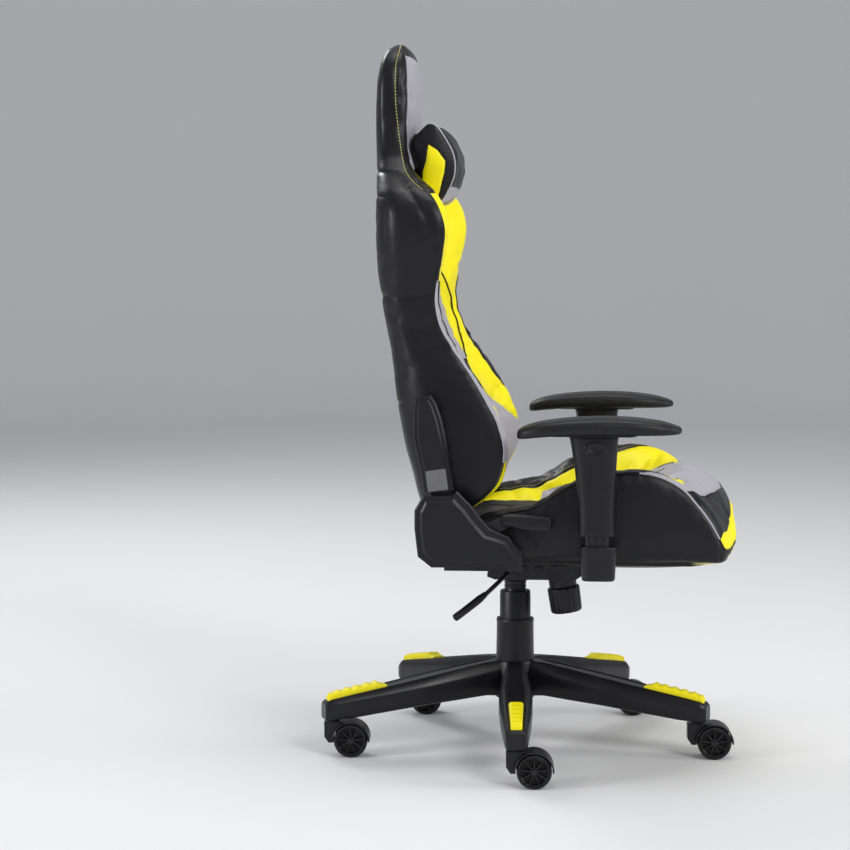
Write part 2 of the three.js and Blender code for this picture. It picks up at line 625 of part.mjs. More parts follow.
chair.add(
  base, ...gasLift(), ...columnCovers(), ...mechanism(), tensionKnob(), ...releaseLever(),
  seatPan(), seatCushion(), backFrame(), backCushion(), headPillow(),
  piece('recline_lever', reclineLever(), matt(COLOURS.plastic, 0.5)),
  piece('recliner_shaft', crossRod(SHAFT.radius, -SHAFT.half, SHAFT.half, PIVOT.x, PIVOT.z),
    matt(COLOURS.chrome, 0.3, 1)),
  ...pair('hinge_plate', seatHingePlate(), matt(COLOURS.steel, 0.5, 0.7)),
  ...pair('hinge_cover_lower', lowerCover(), matt(COLOURS.plastic, 0.5)),
  ...pair('hinge_cover_upper', upperCover(), matt(COLOURS.plastic, 0.5)),
  ...pair('armrest_bracket', armrestBracket(), matt(COLOURS.steel, 0.5, 0.6)),
  ...pair('armrest_sleeve', armrestSleeve(), matt(COLOURS.plastic, 0.5)),
  ...pair('armrest_button', buttonSolid(17, [POST.y + 18.5, POST.y + 22.6]), matt(COLOURS.plastic, 0.4)),
  ...pair('armrest_pad', armrestPad(), matt(COLOURS.rubber, 0.6)),
);

export default chair;
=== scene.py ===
"""A gaming chair: the looks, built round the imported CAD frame.

Shapes are written in millimetres in the chair's own frame: the gas lift's axis is x = y = 0, the
floor is z = 0, the chair faces +X and the sitter's left is +Y. place() turns them into the scene's metres.
"""
import json
from math import ceil, cos, exp, pi, radians, sin

import bmesh
import bpy
import numpy as np
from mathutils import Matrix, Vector
from mathutils.bvhtree import BVHTree
from mathutils.kdtree import KDTree

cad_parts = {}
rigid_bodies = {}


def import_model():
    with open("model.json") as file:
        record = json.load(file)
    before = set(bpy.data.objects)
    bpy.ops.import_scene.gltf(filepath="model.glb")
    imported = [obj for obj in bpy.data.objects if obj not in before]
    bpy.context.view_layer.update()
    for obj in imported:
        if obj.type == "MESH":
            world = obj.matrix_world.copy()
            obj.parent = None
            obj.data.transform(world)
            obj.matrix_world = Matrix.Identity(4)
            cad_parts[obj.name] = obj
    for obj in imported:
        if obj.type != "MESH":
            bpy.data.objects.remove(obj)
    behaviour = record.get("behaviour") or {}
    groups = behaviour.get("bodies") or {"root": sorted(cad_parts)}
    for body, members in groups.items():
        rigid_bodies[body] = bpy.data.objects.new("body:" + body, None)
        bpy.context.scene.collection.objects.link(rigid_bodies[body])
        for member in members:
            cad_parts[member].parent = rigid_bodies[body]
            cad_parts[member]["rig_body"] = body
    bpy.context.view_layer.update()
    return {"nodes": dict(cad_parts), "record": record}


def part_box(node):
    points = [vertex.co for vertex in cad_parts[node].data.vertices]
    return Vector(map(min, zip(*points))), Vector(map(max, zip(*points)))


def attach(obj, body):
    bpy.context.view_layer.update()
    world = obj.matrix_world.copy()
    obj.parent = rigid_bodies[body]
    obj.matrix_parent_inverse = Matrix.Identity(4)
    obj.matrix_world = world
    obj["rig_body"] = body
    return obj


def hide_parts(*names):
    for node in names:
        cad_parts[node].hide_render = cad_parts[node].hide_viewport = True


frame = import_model()
MM = 0.001


lift_low, lift_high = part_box("gas_cylinder")
AXIS = np.array([(lift_low.x + lift_high.x) / 2, (lift_low.y + lift_high.y) / 2, 0.0])
SIDES = {"right": -1, "left": 1}


def place(points):
    return np.asarray(points, float) * MM + AXIS


# ---------------------------------------------------------------- materials

class Nodes:
    """A small helper that writes a material's node tree."""

    def __init__(self, name, colour, roughness, metallic=0.0, specular=0.5):
        self.material = bpy.data.materials.new(name)
        self.material.use_nodes = True
        self.material.diffuse_color = (*colour, 1)
        self.tree = self.material.node_tree
        self.shader = self.tree.nodes["Principled BSDF"]
        self.set("Base Color", (*colour, 1))
        self.set("Roughness", roughness)
        self.set("Metallic", metallic)
        self.set("Specular IOR Level", specular)
        self.set("Coat Weight", 0.0)
        self.set("Coat Roughness", 0.25)
        self.where = self.tree.nodes.new("ShaderNodeTexCoord").outputs["Object"]
        self.normal = None

    def set(self, socket, value):
        self.shader.inputs[socket].default_value = value

    def add(self, kind, inputs=None, **options):
        node = self.tree.nodes.new(kind)
        for key, value in options.items():
            setattr(node, key, value)
        for key, value in (inputs or {}).items():
            if isinstance(value, bpy.types.NodeSocket):
                self.tree.links.new(value, node.inputs[key])
            else:
                node.inputs[key].default_value = value
        return node

    def noise(self, scale, detail=3.0, roughness=0.55, stretch=None, distortion=0.0):
        vector = self.where
        if stretch:
            mapping = self.add("ShaderNodeMapping", {"Vector": vector, "Scale": stretch})
            vector = mapping.outputs[0]
        return self.add("ShaderNodeTexNoise", {
            "Vector": vector, "Scale": scale, "Detail": detail, "Roughness": roughness,
            "Distortion": distortion,
        }).outputs["Fac"]

    def cells(self, scale):
        return self.add("ShaderNodeTexVoronoi", {"Vector": self.where, "Scale": scale}).outputs[0]

    def attribute(self, name):
        return self.add("ShaderNodeAttribute", attribute_name=name).outputs["Fac"]

    def math(self, operation, a, b=0.0):
        node = self.add("ShaderNodeMath", operation=operation)
        for socket, value in zip(node.inputs, (a, b)):
            if isinstance(value, bpy.types.NodeSocket):
                self.tree.links.new(value, socket)
            else:
                socket.default_value = value
        return node.outputs[0]

    def fit(self, value, low, high, new_low, new_high):
        return self.add("ShaderNodeMapRange", {
            "Value": value, "From Min": low, "From Max": high, "To Min": new_low, "To Max": new_high,
        }).outputs[0]

    def bump(self, height, strength, distance):
        inputs = {"Height": height, "Strength": strength, "Distance": distance}
        if self.normal is not None:
            inputs["Normal"] = self.normal
        self.normal = self.add("ShaderNodeBump", inputs).outputs[0]
        self.tree.links.new(self.normal, self.shader.inputs["Normal"])

    def tint(self, factor, dark, light):
        """Base colour between two colours by a factor."""
        mix = self.add("ShaderNodeMix", data_type="RGBA")
        mix.inputs[6].default_value = (*dark, 1)
        mix.inputs[7].default_value = (*light, 1)
        self.tree.links.new(factor, mix.inputs[0])
        self.tree.links.new(mix.outputs[2], self.shader.inputs["Base Color"])

    def rough(self, factor):
        self.tree.links.new(factor, self.shader.inputs["Roughness"])


def shade(colour, factor):
    return tuple(c * factor for c in colour)


def leather(name, colour, roughness, dirt_and_shade=0.72):
    """Synthetic leather: pebble grain, soft creases, puckers and darker colour beside the seams, partly grime
    and partly painted shade.
    """
    m = Nodes(name, colour, roughness, specular=0.3)
    pebble = m.cells(820)
    crease = m.noise(34, 5, 0.6, distortion=0.6)
    patchy = m.noise(9, 3)
    seam = m.attribute("seam")
    pucker = m.math("MULTIPLY", m.noise(150, 2, 0.5), seam)
    # Beside the seams the colour is darkened: partly grime, partly painted shade in the seams' hollows.
    patches_and_seam_shade = m.math("SUBTRACT", m.fit(patchy, 0.3, 0.7, 0.55, 1.0), m.math("MULTIPLY", seam, 0.5))
    m.tint(patches_and_seam_shade, shade(colour, dirt_and_shade), shade(colour, 1.06))
    m.rough(m.math("ADD", m.fit(patchy, 0.3, 0.7, roughness - 0.05, roughness + 0.07),
                   m.fit(pebble, 0.0, 0.7, 0.05, -0.03)))
    m.bump(crease, 0.10, 0.0016)
    m.bump(pucker, 0.35, 0.0020)
    m.bump(pebble, 0.16, 0.0005)
    m.bump(m.noise(2600, 2), 0.06, 0.0002)
    return m.material


def moulded(name, colour, roughness, grain=0.12, scale=1500, tone_and_highlight=1.5):
    """Moulded plastic with a spark-eroded grain, uneven gloss and a painted highlight that makes its edges a
    little lighter.
    """
    m = Nodes(name, colour, roughness, specular=0.35)
    cloud = m.noise(14, 4)
    # Convex edges are painted a little lighter in patches: a painted highlight along the edges.
    edge = m.add("ShaderNodeNewGeometry").outputs["Pointiness"]
    edge_highlight = m.math("MULTIPLY", m.fit(edge, 0.52, 0.60, 0.0, 1.0),
                    m.fit(m.noise(60, 3), 0.35, 0.6, 0.2, 1.0))
    m.tint(m.math("ADD", m.fit(cloud, 0.3, 0.7, 0.0, 0.35), m.math("MULTIPLY", edge_highlight, 0.6)),
           shade(colour, 0.9), shade(colour, tone_and_highlight))
    m.rough(m.fit(cloud, 0.25, 0.75, roughness - 0.05, roughness + 0.07))
    m.bump(m.noise(scale, 3), grain, 0.0004)
    m.bump(m.noise(40, 2), 0.05, 0.001)
    return m.material


def metal(name, colour, roughness, bump=0.03, scale=900, metallic=1.0):
    """Metal with fine brushing and uneven gloss."""
    m = Nodes(name, colour, roughness, metallic=metallic)
    m.rough(m.fit(m.noise(70, 4), 0.3, 0.7, roughness * 0.8, roughness * 1.35))
    m.bump(m.noise(scale, 2, stretch=(1, 1, 0.06)), bump, 0.0003)
    return m.material


def thread(name, colour):
    """Twisted sewing thread."""
    m = Nodes(name, colour, 0.6, specular=0.3)
    m.tint(m.noise(700, 2), shade(colour, 0.7), shade(colour, 1.1))
    m.bump(m.noise(1600, 2), 0.4, 0.0003)
    return m.material


BLACK = (0.0055, 0.0055, 0.0072)
YELLOW = (0.95, 0.83, 0.003)
LIGHT = (0.40, 0.39, 0.43)
LOOK = {
    "black_leather": leather("leather black", BLACK, 0.38),
    "yellow_leather": leather("leather yellow", YELLOW, 0.42, dirt_and_shade=0.9),
    "light_leather": leather("leather light grey", LIGHT, 0.42, dirt_and_shade=0.86),
    "nylon": moulded("nylon", (0.005, 0.005, 0.0065), 0.34),
    "yellow_trim": moulded("yellow trim", YELLOW, 0.42, tone_and_highlight=1.02),
    "castor_tread": moulded("castor tread", (0.005, 0.005, 0.0055), 0.5, grain=0.2, scale=700),
    "chrome": metal("chrome", (0.75, 0.75, 0.77), 0.14),
    "dark_steel": metal("powder coated steel", (0.016, 0.016, 0.018), 0.45, bump=0.12, scale=1700,
                        metallic=0.3),
    "cover_plastic": moulded("cover plastic", (0.0055, 0.0055, 0.0075), 0.38, grain=0.16, scale=1300),
    "grey_plastic": moulded("grey plastic", (0.13, 0.13, 0.14), 0.40, tone_and_highlight=1.2),
    "pad_rubber": moulded("pad polyurethane", (0.006, 0.006, 0.007), 0.44, grain=0.25, scale=1000, tone_and_highlight=1.3),
}
GLOSSY = moulded("glossy nylon", (0.012, 0.012, 0.014), 0.2, grain=0.04)
YELLOW_THREAD = thread("thread yellow", (0.55, 0.50, 0.16))
BLACK_THREAD = thread("thread black", (0.02, 0.02, 0.022))


# ---------------------------------------------------------------- mesh helpers

def finish_piece(obj, body, slot, look=None, replaces=()):
    """Gives a piece its material and its body, and hides the CAD nodes that it stands for."""
    if look is not None:
        obj.data.materials.clear()
        obj.data.materials.append(look)
    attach(obj, body)
    if replaces:
        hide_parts(*replaces)
    return obj


def object_from(name, points, faces, smooth_angle=None):
    """A mesh object from points in chair millimetres, its faces turned outwards."""
    mesh = bpy.data.meshes.new(name)
    mesh.from_pydata(place(points).tolist(), [], faces)
    bm = bmesh.new()
    bm.from_mesh(mesh)
    bmesh.ops.recalc_face_normals(bm, faces=bm.faces)
    bm.to_mesh(mesh)
    bm.free()
    mesh.shade_smooth()
    if smooth_angle is not None:
        mesh.set_sharp_from_angle(angle=radians(smooth_angle))
    obj = bpy.data.objects.new(name, mesh)
    bpy.context.scene.collection.objects.link(obj)
    return obj


def join_parts(name, parts, smooth_angle=35):
    """One object from several (points, faces) parts."""
    points, faces = [], []
    for part_points, part_faces in parts:
        start = len(points)
        points.extend(np.asarray(part_points, float).tolist())
        faces.extend([[i + start for i in face] for face in part_faces])
    return object_from(name, points, faces, smooth_angle)


def piece(name, parts, smooth, body, slot, replaces=(), look=None, edges=None):
    """A finished piece from parts; edges is the (width, segments, angle) of its bevel."""
    obj = join_parts(name, parts, smooth)
    if edges:
        bevelled(obj, *edges)
    return finish_piece(obj, body, slot, look or LOOK[slot], replaces)


def placed(part, to):
    """A (points, faces) part with its points moved by a function."""
    return to(part[0]), part[1]


def quads(a, b, n):
    """The faces between two closed rings of n points that start at points a and b."""
    return [[a + i, a + (i + 1) % n, b + (i + 1) % n, b + i] for i in range(n)]


def circle(count):
    return np.linspace(0, 2 * pi, count, endpoint=False)


def squared(a, power):
    """A cosine or sine drawn towards a square by a power below 1."""
    return np.sign(a) * abs(a) ** power


def mirrored(half):
    """A closed ring from [y, z] points of one half, first and last on the middle."""
    return half + [[-y, z] for y, z in half[1:-1][::-1]]


def tube_part(path, radius, sides=8, closed=False):
    """A round tube along a path of points; radius is one number or one for each point."""
    path = np.asarray(path, float)
    count = len(path)
    radii = np.broadcast_to(radius, count)
    if closed:
        tangent = np.roll(path, -1, 0) - np.roll(path, 1, 0)
    else:
        tangent = np.gradient(path, axis=0)
    tangent /= np.linalg.norm(tangent, axis=1)[:, None]
    normal = np.cross(tangent[0], [0.0, 0.0, 1.0])
    if np.linalg.norm(normal) < 0.1:
        normal = np.cross(tangent[0], [0.0, 1.0, 0.0])
    points = []
    angles = np.arange(sides) / sides * 2 * pi
    for here, along, r in zip(path, tangent, radii):
        normal = normal - along * (normal @ along)
        normal /= np.linalg.norm(normal)
        other = np.cross(along, normal)
        points.extend(here + r * (cos(a) * normal + sin(a) * other) for a in angles)
    faces = []
    for i in range(count if closed else count - 1):
        a, b = i * sides, ((i + 1) % count) * sides
        faces += quads(a, b, sides)
    if not closed:
        faces.append(list(range(sides))[::-1])
        faces.append(list(range((count - 1) * sides, count * sides)))
    return points, faces


def lathe_part(profile, segments=64, closed=True):
    """A body of revolution about Z from [radius, height] points."""
    points, faces = [], []
    for i in range(segments):
        angle = 2 * pi * i / segments
        points.extend([r * cos(angle), r * sin(angle), z] for r, z in profile)
    n = len(profile)
    for i in range(segments):
        a, b = i * n, ((i + 1) % segments) * n
        for j in range(n if closed else n - 1):
            k = (j + 1) % n
            faces.append([a + j, b + j, b + k, a + k])
    return np.array(points), faces


def rounded(outline, radius):
    """A closed 2-D outline with its corners rounded; radius is one number or one per corner."""
    outline = np.asarray(outline, float)
    radii = np.broadcast_to(radius, len(outline))
    out = []
    for i, (corner, r) in enumerate(zip(outline, radii)):
        before, after = outline[i - 1] - corner, outline[(i + 1) % len(outline)] - corner
        reach = min(r, 0.45 * np.linalg.norm(before), 0.45 * np.linalg.norm(after))
        a = corner + before / np.linalg.norm(before) * reach
        b = corner + after / np.linalg.norm(after) * reach
        for t in np.linspace(0, 1, 5):
            out.append((1 - t) ** 2 * a + 2 * t * (1 - t) * corner + t ** 2 * b)
    return np.array(out)


def loft_part(rings):
    """A closed body through rings that all have the same number of points."""
    rings = [np.asarray(r, float) for r in rings]
    count = len(rings[0])
    faces = []
    for r in range(len(rings) - 1):
        faces += quads(r * count, (r + 1) * count, count)
    faces.append(list(range(count))[::-1])
    faces.append(list(range((len(rings) - 1) * count, len(rings) * count)))
    return np.concatenate(rings), faces


CREASE = 32   # degrees between two faces that makes an edge sharp


def bevelled(obj, width, segments, angle):
    """Rounds a hard-surface piece's edges; width in millimetres."""
    modifier = obj.modifiers.new("edges", "BEVEL")
    modifier.width = width * MM
    modifier.segments = segments
    modifier.limit_method = "ANGLE"
    modifier.angle_limit = radians(angle)
    modifier.miter_outer = "MITER_ARC"
    modifier.use_clamp_overlap = True
    modifier.harden_normals = True
    return obj


def slot_of(node):
    return next(s["material_slot"] for s in frame["record"]["subparts"] if s["node"] == node)


def refined(node, width, look=None):
    """A CAD node's own shape with rounded edges, standing for the node."""
    source = frame["nodes"][node]
    mesh = source.data.copy()
    bm = bmesh.new()
    bm.from_mesh(mesh)
    bmesh.ops.remove_doubles(bm, verts=bm.verts, dist=2e-5)
    bmesh.ops.dissolve_limit(bm, angle_limit=radians(0.6), verts=bm.verts, edges=bm.edges)
    bmesh.ops.recalc_face_normals(bm, faces=bm.faces)
    bm.to_mesh(mesh)
    bm.free()
    mesh.shade_smooth()
    mesh.set_sharp_from_angle(angle=radians(CREASE))
    obj = bpy.data.objects.new(f"{node}_shell", mesh)
    bpy.context.scene.collection.objects.link(obj)
    bevelled(obj, width, 2, CREASE)
    body = source["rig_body"]
    slot = slot_of(node)
    return finish_piece(obj, body, slot, look or LOOK[slot], [node])


def curve_through(points, distances):
    """A Catmull-Rom curve through points, read at distances along its chords."""
    p = np.asarray(points, float)
    knots = np.r_[0, np.cumsum(np.linalg.norm(np.diff(p, axis=0), axis=1))]
    gaps = np.diff(knots)
    slopes = np.diff(p, axis=0) / gaps[:, None]
    tangents = np.empty_like(p)
    tangents[1:-1] = (slopes[:-1] * gaps[1:, None] + slopes[1:] * gaps[:-1,
                                                                       None]) / (gaps[:-1] + gaps[1:])[:,
                                                                                                       None]
    tangents[0] = 1.5 * slopes[0] - 0.5 * tangents[1]
    tangents[-1] = 1.5 * slopes[-1] - 0.5 * tangents[-2]
    at = np.clip(distances, 0, knots[-1])
    i = np.clip(np.searchsorted(knots, at, "right") - 1, 0, len(gaps) - 1)
    h = gaps[i][:, None]
    x = (at - knots[i])[:, None] / h
    return ((2 * x**3 - 3 * x**2 + 1) * p[i] + (x**3 - 2 * x**2 + x) * h * tangents[i]
            + (3 * x**2 - 2 * x**3) * p[i + 1] + (x**3 - x**2) * h * tangents[i + 1])


def lengths(points):
    return np.r_[0, np.cumsum(np.linalg.norm(np.diff(np.asarray(points, float), axis=0), axis=1))]


def evenly(points, count):
    """count points evenly spaced along the smooth curve through points."""
    dense = curve_through(points, np.linspace(0, lengths(points)[-1], 40 * len(points)))
    run = lengths(dense)
    want = np.linspace(0, run[-1], count)
    return np.stack([np.interp(want, run, dense[:, k]) for k in range(dense.shape[1])], 1)


def mix(a, b, t):
    return a + (b - a) * t


# ---------------------------------------------------------------- cushions

CLOTH_FRAMES, SMOOTHINGS = 20, 60
NECK, NECK_SHARE = 1040, 0.55   # above this height the stuffing leaves only a share of the folds


class Cushion:
    """A cushion cover made of rings of points, with an `along` and a `q` value at each point.

    On the seat and the back q is a point's place in its half of the ring: 0 at the hidden side's
    middle, 1 at the side seam, 2 at the bolster's foot and 3 at the middle of the well.
    """

    def __init__(self, name, points, along, q, capped=True):
        self.name, self.points, self.along, self.q, self.capped = name, points, along, q, capped
        self.columns = points.shape[1]
        self.half = self.columns // 2

    def column(self, q, side):
        """The float column at place q on one side (-1 right, 1 left)."""
        j = np.interp(q, self.q[0, :self.half + 1], np.arange(self.half + 1))
        return j if side < 0 else self.columns - j

    def read(self, along, q, side):
        """Surface points at distances along the cushion and places q round it."""
        rows = len(self.points)
        r = np.interp(along, self.along[:, 0], np.arange(rows))
        c = self.column(np.asarray(q, float), side) * np.ones_like(r)
        r0 = np.clip(r.astype(int), 0, rows - 2)
        c0 = np.floor(c).astype(int)
        fr, fc = (r - r0)[:, None], (c - c0)[:, None]
        a, b = c0 % self.columns, (c0 + 1) % self.columns
        p = self.points
        return ((p[r0, a] * (1 - fc) + p[r0, b] * fc) * (1 - fr)
                + (p[r0 + 1, a] * (1 - fc) + p[r0 + 1, b] * fc) * fr)

    def faces(self):
        rows, n = len(self.points), self.columns
        faces = []
        for r in range(rows - 1):
            for c in range(n):
                d = (c + 1) % n
                faces.append([r * n + c, r * n + d, (r + 1) * n + d, (r + 1) * n + c])
        if not self.capped:
            return faces + [list(range(n)), list(range((rows - 1) * n, rows * n))]
        for base in (0, (rows - 1) * n):
            for j in range(self.half):
                a, b = base + j, base + j + 1
                c, d = base + (n - j - 1) % n, base + (n - j) % n
                faces.append(list(dict.fromkeys([a, b, c, d])))
        return faces

    def pins(self, below, weight):
        """How firmly each point is held: the seams and ends fully, places q under `below` by a weight."""
        on_seam = (np.abs(self.q - 1) < 1e-6) | (np.abs(self.q - 2) < 1e-6)
        pinned = np.where(on_seam, 1.0, 0.0)
        pinned[self.q < below] = weight
        pinned[[0, 1, -1, -2]] = 1.0
        return pinned

    def simulate(self, pinned, pressure=4.0, cap=8.0, broad=0.85, hidden=1.0):
        """Blows the cover up against its seams with cloth simulation.

        A point moves at most cap millimetres. The share `broad` of the even swelling is taken out
        again, as the rows already give the stuffed shape, which leaves seams, folds and puckers.
        `hidden` scales what is left on the side and rear panels.
        """
        obj = object_from(self.name + "_sim", self.points.reshape(-1, 3), self.faces())
        group = obj.vertex_groups.new(name="pin")
        weights = pinned.reshape(-1)
        for level in np.unique(weights):
            group.add(np.nonzero(weights == level)[0].tolist(), float(level), "REPLACE")
        modifier = obj.modifiers.new("cloth", "CLOTH")
        settings = modifier.settings
        settings.quality = 4
        settings.mass = 0.25
        settings.tension_stiffness = settings.compression_stiffness = 18
        settings.bending_stiffness = 1.2
        settings.use_pressure = True
        settings.uniform_pressure_force = pressure
        settings.shrink_min = settings.shrink_max = -0.02
        settings.vertex_group_mass = "pin"
        settings.effector_weights.gravity = 0
        modifier.collision_settings.use_collision = False
        scene = bpy.context.scene
        for step in range(1, CLOTH_FRAMES + 1):
            scene.frame_set(step)
        evaluated = obj.evaluated_get(bpy.context.evaluated_depsgraph_get()).to_mesh()
        moved = np.empty(len(evaluated.vertices) * 3)
        evaluated.vertices.foreach_get("co", moved)
        moved = (moved.reshape(self.points.shape) - AXIS) / MM
        scene.frame_set(1)
        bpy.data.objects.remove(obj)
        shift = moved - self.points
        size = np.linalg.norm(shift, axis=2, keepdims=True)
        shift *= np.minimum(1, cap / np.maximum(size, 1e-6))
        even = shift
        for _ in range(SMOOTHINGS):
            ends = np.concatenate([even[:1], even, even[-1:]])
            even = (even + np.roll(even, 1, 1) + np.roll(even, -1, 1) + ends[:-2] + ends[2:]) / 5
        share = np.where(self.q < 0.99, hidden, 1.0) * np.where(self.along > NECK, NECK_SHARE, 1.0)
        self.points = self.points + share[..., None] * (shift - broad * even)

    def build(self, lines, colour, looks, seams, cover, body, slot, node, fill):
        """Cuts the mesh along each line, colours it, sinks its seams and rounds it once more."""
        along, q = self.along, self.q
        fields = {key: line(along, q).reshape(-1) for key, line in lines.items()}
        obj = object_from(self.name, self.points.reshape(-1, 3), self.faces())
        bm = bmesh.new()
        bm.from_mesh(obj.data)
        bm.verts.ensure_lookup_table()
        values = {**fields, "along": along.reshape(-1), "q": q.reshape(-1)}
        for key in [*values, "seam"]:
            bm.verts.layers.float.new(key)
        bm.verts.ensure_lookup_table()
        layers = {key: bm.verts.layers.float[key] for key in values}
        for key, layer in layers.items():
            for vert, value in zip(bm.verts, values[key]):
                vert[layer] = value
        for key in lines:
            cut(bm, layers, key)
        for look in looks:
            obj.data.materials.append(LOOK[look])
        for face in bm.faces:
            at = {key: sum(v[layer] for v in face.verts) / len(face.verts) for key, layer in layers.items()}
            face.material_index = looks.index(colour(at))
        sink(bm, seams(layers, bm), cover)
        for key in values:
            bm.verts.layers.float.remove(bm.verts.layers.float[key])
        bm.to_mesh(obj.data)
        bm.free()
        obj.data.shade_smooth()
        modifier = obj.modifiers.new("round", "SUBSURF")
        modifier.levels = modifier.render_levels = 1
        finish_piece(obj, body, slot, replaces=[node])
        self.body = body
        bpy.context.view_layer.update()
        graph = bpy.context.evaluated_depsgraph_get()
        self.surface = BVHTree.FromObject(obj, graph)

    def on_surface(self, points, lift=0.0):
        """Points moved onto the finished cushion, and the surface's normals there."""
        found, normals = [], []
        for point in place(points):
            spot, normal, _, _ = self.surface.find_nearest(Vector(point))
            found.append((np.array(spot) - AXIS) / MM + lift * np.array(normal))
            normals.append(np.array(normal))
        return np.array(found), np.array(normals)


def sectioned(name, table, panels, counts, spacing, turn):
    """A cushion through a table of sections, alike on both sides."""
    rows = evenly(table, ceil(lengths(table)[-1] / spacing))
    halves = []
    for row in rows:
        parts = [evenly(points, count + 1) for points, count in zip(panels(row), counts)]
        halves.append(np.concatenate([part[:-1] for part in parts[:-1]] + [parts[-1]]))
    halves = np.array(halves)
    q = np.concatenate([i + np.arange(n) / n for i, n in enumerate(counts)] + [[len(counts)]])
    along = rows[:, :1].repeat(len(q), 1)
    right = turn(along, -halves[..., 0], halves[..., 1])
    left = turn(along, halves[..., 0], halves[..., 1])[:, ::-1]
    ring = np.concatenate([q, q[1:-1][::-1]])
    return Cushion(name, np.concatenate([right, left[:, 1:-1]], 1), rows[:, :1].repeat(len(ring), 1),
                   np.tile(ring, (len(rows), 1)))


SNAP = 0.12   # a cut this near a vertex, as a share of the edge, moves to the vertex


def cut(bm, layers, key):
    """Splits the faces of a mesh along the zero line of one of its values."""
    layer = layers[key]
    for edge in list(bm.edges):
        a, b = edge.verts
        va, vb = a[layer], b[layer]
        if va * vb >= 0:
            continue
        t = va / (va - vb)
        if t < SNAP:
            a[layer] = 0.0
        elif t > 1 - SNAP:
            b[layer] = 0.0
    for edge in list(bm.edges):
        a, b = edge.verts
        va, vb = a[layer], b[layer]
        if va * vb >= 0:
            continue
        t = va / (va - vb)
        values = {name: mix(a[other], b[other], t) for name, other in layers.items()}
        _, vert = bmesh.utils.edge_split(edge, a, t)
        for name, other in layers.items():
            vert[other] = values[name]
        vert[layer] = 0.0
    on_line = {v for v in bm.verts if v[layer] == 0.0}
    for face in list(dict.fromkeys(f for v in bm.verts if v in on_line for f in v.link_faces)):
        order = list(face.verts)
        count = len(order)
        hits = [i for i, v in enumerate(order) if v in on_line]
        for i, j in [(i, j) for i in hits for j in hits if 1 < j - i < count - 1]:
            inner = [order[k][layer] for k in range(i + 1, j)]
            outer = [order[k % count][layer] for k in range(j + 1, i + count)]
            if min(inner) < 0 < max(outer) and max(inner) <= 0 <= min(outer) or \
                    min(outer) < 0 < max(inner) and max(outer) <= 0 <= min(inner):
                bmesh.utils.face_split(face, order[i], order[j])
                break


def pickers(layers, bm, nearest):
    """Two functions that find a seam's vertices: on a cut line, and down a column of the rows."""
    along, q = layers["along"], layers["q"]

    def line(key, low=-2000, high=2000, q_low=nearest, q_high=3.1):
        at = layers[key]
        return [v for v in bm.verts if v[at] == 0.0 and low < v[along] < high and q_low < v[q] < q_high]

    def column(value, low=-2000, high=2000):
        return [v for v in bm.verts if abs(v[q] - value) < 1e-4 and low < v[along] < high]
    return line, column


def sink(bm, seams, cover):
    """Draws the surface in along the seams, each (vertices, depth, width), and marks them."""
    mark = bm.verts.layers.float["seam"]
    bm.normal_update()
    shift = {}
    for verts, depth, width in seams:
        if not verts:
            continue
        tree = KDTree(len(verts))
        for i, vert in enumerate(verts):
            tree.insert(vert.co, i)
        tree.balance()
        for vert in bm.verts:
            gap = tree.find(vert.co)[2] / MM
            if gap < 4 * width:
                fall = exp(-((gap / width) ** 2))
                shift[vert] = max(shift.get(vert, 0.0), depth * fall)
                vert[mark] = max(vert[mark], exp(-((gap / (2.6 * cover)) ** 2)))
    for vert, depth in shift.items():
        vert.co -= vert.normal * depth * MM


def piping(name, cushion, route, radius, slot="black_leather", lift=0.4):
    """A sewn-in cord along a route of surface points."""
    count = max(4, int(lengths(route)[-1] / 5.0))
    path, _ = cushion.on_surface(evenly(route, count), lift)
    piece(name, [tube_part(path, radius, 8)], 35, cushion.body, slot)


STITCH_GAP = 2.0


def stitch_parts(cushion, route, length=3.6, radius=0.55):
    """Separate sewn stitches along a route of surface points."""
    route = np.asarray(route, float)
    pitch = length + STITCH_GAP
    count = int(lengths(route)[-1] / pitch)
    run = lengths(route)
    parts = []
    starts = np.arange(count) * pitch
    ends = starts + length
    ts = np.stack([starts, (starts + ends) / 2, ends], 1).reshape(-1)
    raw = np.stack([np.interp(ts, run, route[:, k]) for k in range(3)], 1)
    path, normals = cushion.on_surface(raw)
    for i in range(count):
        here, normal = path[3 * i:3 * i + 3], normals[3 * i + 1]
        if np.linalg.norm(here[2] - here[0]) < 0.5 * length:
            continue
        height = np.array([-0.35, 0.45, 0.55, 0.45, -0.35]) * radius * 2
        t = np.array([0.0, 0.15, 0.5, 0.85, 1.0])
        line = here[0] + (here[2] - here[0]) * t[:, None] + normal * height[:, None]
        parts.append(tube_part(line, np.array([0.55, 1, 1, 1, 0.55]) * radius, 6))
    return parts


def thread_pieces(cushion, yellow, dark):
    """Joins a cushion's stitches into one piece for each colour of thread."""
    for word, parts, look, slot in (("yellow", yellow, YELLOW_THREAD, "yellow_leather"),
                                    ("grey", dark, BLACK_THREAD, "black_leather")):
        piece(f"{cushion.body}_thread_{word}", parts, 60, cushion.body, slot, look=look)


